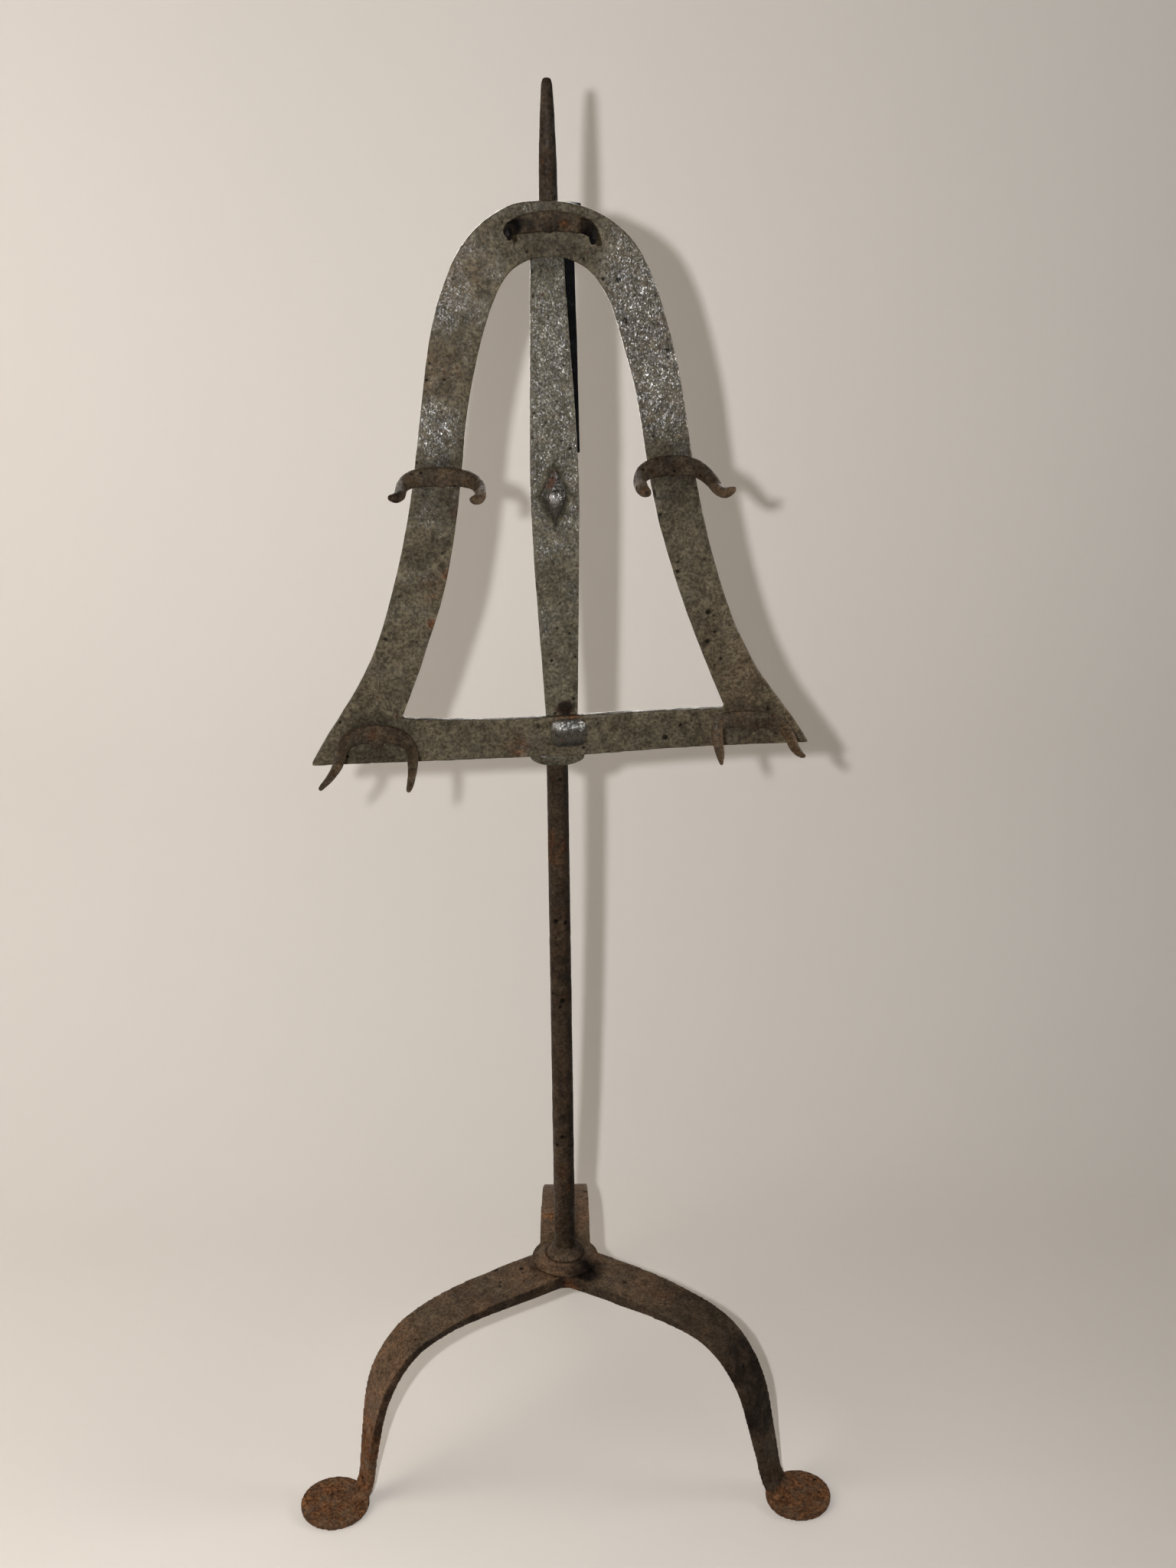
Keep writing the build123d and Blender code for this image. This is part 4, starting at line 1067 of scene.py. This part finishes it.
def paper_material(name, colour):
    """Pale matt paper, unseen from its back; far from the stand it fades into the surround."""
    material = bpy.data.materials.new(name)
    material.use_nodes = True
    graph = Graph(material.node_tree)
    paper = material.node_tree.nodes["Principled BSDF"]
    place = graph.node("ShaderNodeTexCoord").outputs["Object"]
    cloud = graph.node("ShaderNodeTexNoise", {"Scale": 2.2, "Detail": 3, "Vector": place})
    graph.feed(paper.inputs["Roughness"], 0.9)
    graph.feed(paper.inputs["Specular IOR Level"], 0.15)
    graph.feed(paper.inputs["Base Color"],
               graph.mix(cloud.outputs["Fac"], colour, scaled(colour, 0.95)))
    level = graph.vector("MULTIPLY", place, (1, 1, 0))
    distance = graph.node("ShaderNodeVectorMath", {0: level}, operation="LENGTH")
    far = graph.ramp(distance.outputs["Value"], span=(0.72, 1.5))
    seen = graph.times(far, graph.node("ShaderNodeLightPath").outputs["Is Camera Ray"])
    glow = graph.node("ShaderNodeEmission", {"Color": (*SURROUND, 1)}).outputs[0]
    front = graph.mix_shader(seen, paper.outputs[0], glow)
    back = graph.node("ShaderNodeNewGeometry").outputs["Backfacing"]
    clear = graph.node("ShaderNodeBsdfTransparent").outputs[0]
    graph.feed(material.node_tree.nodes["Material Output"].inputs["Surface"],
               graph.mix_shader(back, front, clear))
    return material


def staged(name, verts, faces, material, smooth):
    mesh = bpy.data.meshes.new(name)
    mesh.from_pydata(verts, [], faces)
    if smooth:
        mesh.polygons.foreach_set("use_smooth", np.ones(len(faces), bool))
    mesh.materials.append(material)
    thing = bpy.data.objects.new(name, mesh)
    scene.collection.objects.link(thing)


def backdrop():
    """Floor that curves up into a wall behind the stand."""
    profile = [(-3.0, 0.0), (-1.0, 0.0), (0.0, 0.0), (BEND_START, 0.0)]
    for k in range(1, BEND_STEPS + 1):
        angle = math.pi / 2 * k / BEND_STEPS
        profile.append((BEND_START + BEND_RADIUS * math.sin(angle),
                        BEND_RADIUS - BEND_RADIUS * math.cos(angle)))
    wall = BEND_START + BEND_RADIUS
    profile += [(wall, 1.0), (wall, 3.5)]
    verts = [(x, y, z) for x in (-HALF_WIDTH, HALF_WIDTH) for y, z in profile]
    count = len(profile)
    faces = [(k, count + k, count + k + 1, k + 1) for k in range(count - 1)]
    material = paper_material("backdrop", PAPER)
    staged("sweep", verts, faces, material, smooth=True)
    # the floor goes on behind, where only a view from the back sees it
    corners = [(-HALF_WIDTH, BEND_START), (HALF_WIDTH, BEND_START), (HALF_WIDTH, 4),
               (-HALF_WIDTH, 4)]
    staged("floor_back", [(x, y, -0.0004) for x, y in corners], [(0, 1, 2, 3)], material,
           smooth=False)


def soft_world():
    """A weak warm light; the camera sees the surround colour instead."""
    world = bpy.data.worlds.new("soft")
    scene.world = world
    world.use_nodes = True
    nodes = world.node_tree.nodes
    graph = Graph(world.node_tree)
    light = nodes["Background"]
    graph.feed(light.inputs[0], (1.0, 0.95, 0.86, 1))
    graph.feed(light.inputs[1], 0.06)
    seen = graph.node("ShaderNodeBackground", {0: (*SURROUND, 1), 1: 1.0})
    camera_ray = graph.node("ShaderNodeLightPath").outputs["Is Camera Ray"]
    graph.feed(nodes["World Output"].inputs["Surface"],
               graph.mix_shader(camera_ray, light.outputs[0], seen.outputs[0]))


backdrop()
soft_world()

# ------------------------------------------------------------------ camera
CAMERA = Vector((-0.000025, -0.940, 0.80509))
PITCH, YAW, ROLL = 0.3717566, 0.0181316, 0.0093614      # radians; pitch is downward

forward = Vector((math.sin(YAW) * math.cos(PITCH), math.cos(YAW) * math.cos(PITCH),
                  -math.sin(PITCH)))
level_right = Vector((math.cos(YAW), -math.sin(YAW), 0))
level_down = forward.cross(level_right)
right = math.cos(ROLL) * level_right + math.sin(ROLL) * level_down
up = -(-math.sin(ROLL) * level_right + math.cos(ROLL) * level_down)

camera_data = bpy.data.cameras.new("camera")
camera_data.sensor_fit = "VERTICAL"
camera_data.sensor_height = 36
camera_data.sensor_width = 27
camera_data.lens = 41.30859375
camera_data.clip_start = 0.01
camera = bpy.data.objects.new("camera", camera_data)
camera.matrix_world = (Matrix.Translation(CAMERA)
                       @ Matrix((right, up, -forward)).transposed().to_4x4())
scene.collection.objects.link(camera)
scene.camera = camera


# ------------------------------------------------------------------ lights
def area(name, place, target, size, power, colour, spread=180):
    """A round lamp aimed at the target; spread in degrees."""
    light = bpy.data.lights.new(name, "AREA")
    light.shape = "DISK"
    light.size = size
    light.energy = power
    light.color = colour
    light.spread = math.radians(spread)
    lamp = bpy.data.objects.new(name, light)
    lamp.location = place
    aim = Vector(target) - Vector(place)
    lamp.rotation_euler = aim.to_track_quat("-Z", "Y").to_euler()
    lamp.visible_camera = False
    scene.collection.objects.link(lamp)


# a small key just left of and above the lens, and wide soft fills
area("key", place=CAMERA - right * 0.064 + up * 0.018, target=(0.0, 0.05, 0.42),
     size=0.018, power=8.7, colour=(0.99, 0.99, 1.0))
area("fill_left", place=(-0.95, -0.35, 0.78), target=(-0.05, 0.35, 0.50),
     size=0.9, power=7.2, colour=(1.0, 0.93, 0.84))
area("fill_top", place=(-0.5, -0.2, 2.1), target=(0, 0.2, 0.3),
     size=1.4, power=3.2, colour=(1.0, 0.93, 0.85))
# soft light for the right side and the back, kept off the floor and the wall
area("side_right", place=(0.95, -0.12, 0.66), target=(0.0, -0.2, 0.52),
     size=0.6, power=1.9, colour=(1.0, 0.96, 0.9), spread=60)
area("back_soft", place=(0.0, 0.45, 0.62), target=(0.0, -0.2, 0.60),
     size=0.6, power=1.0, colour=(1.0, 0.96, 0.9), spread=55)

scene.view_settings.view_transform = "Standard"
scene.view_settings.look = "None"
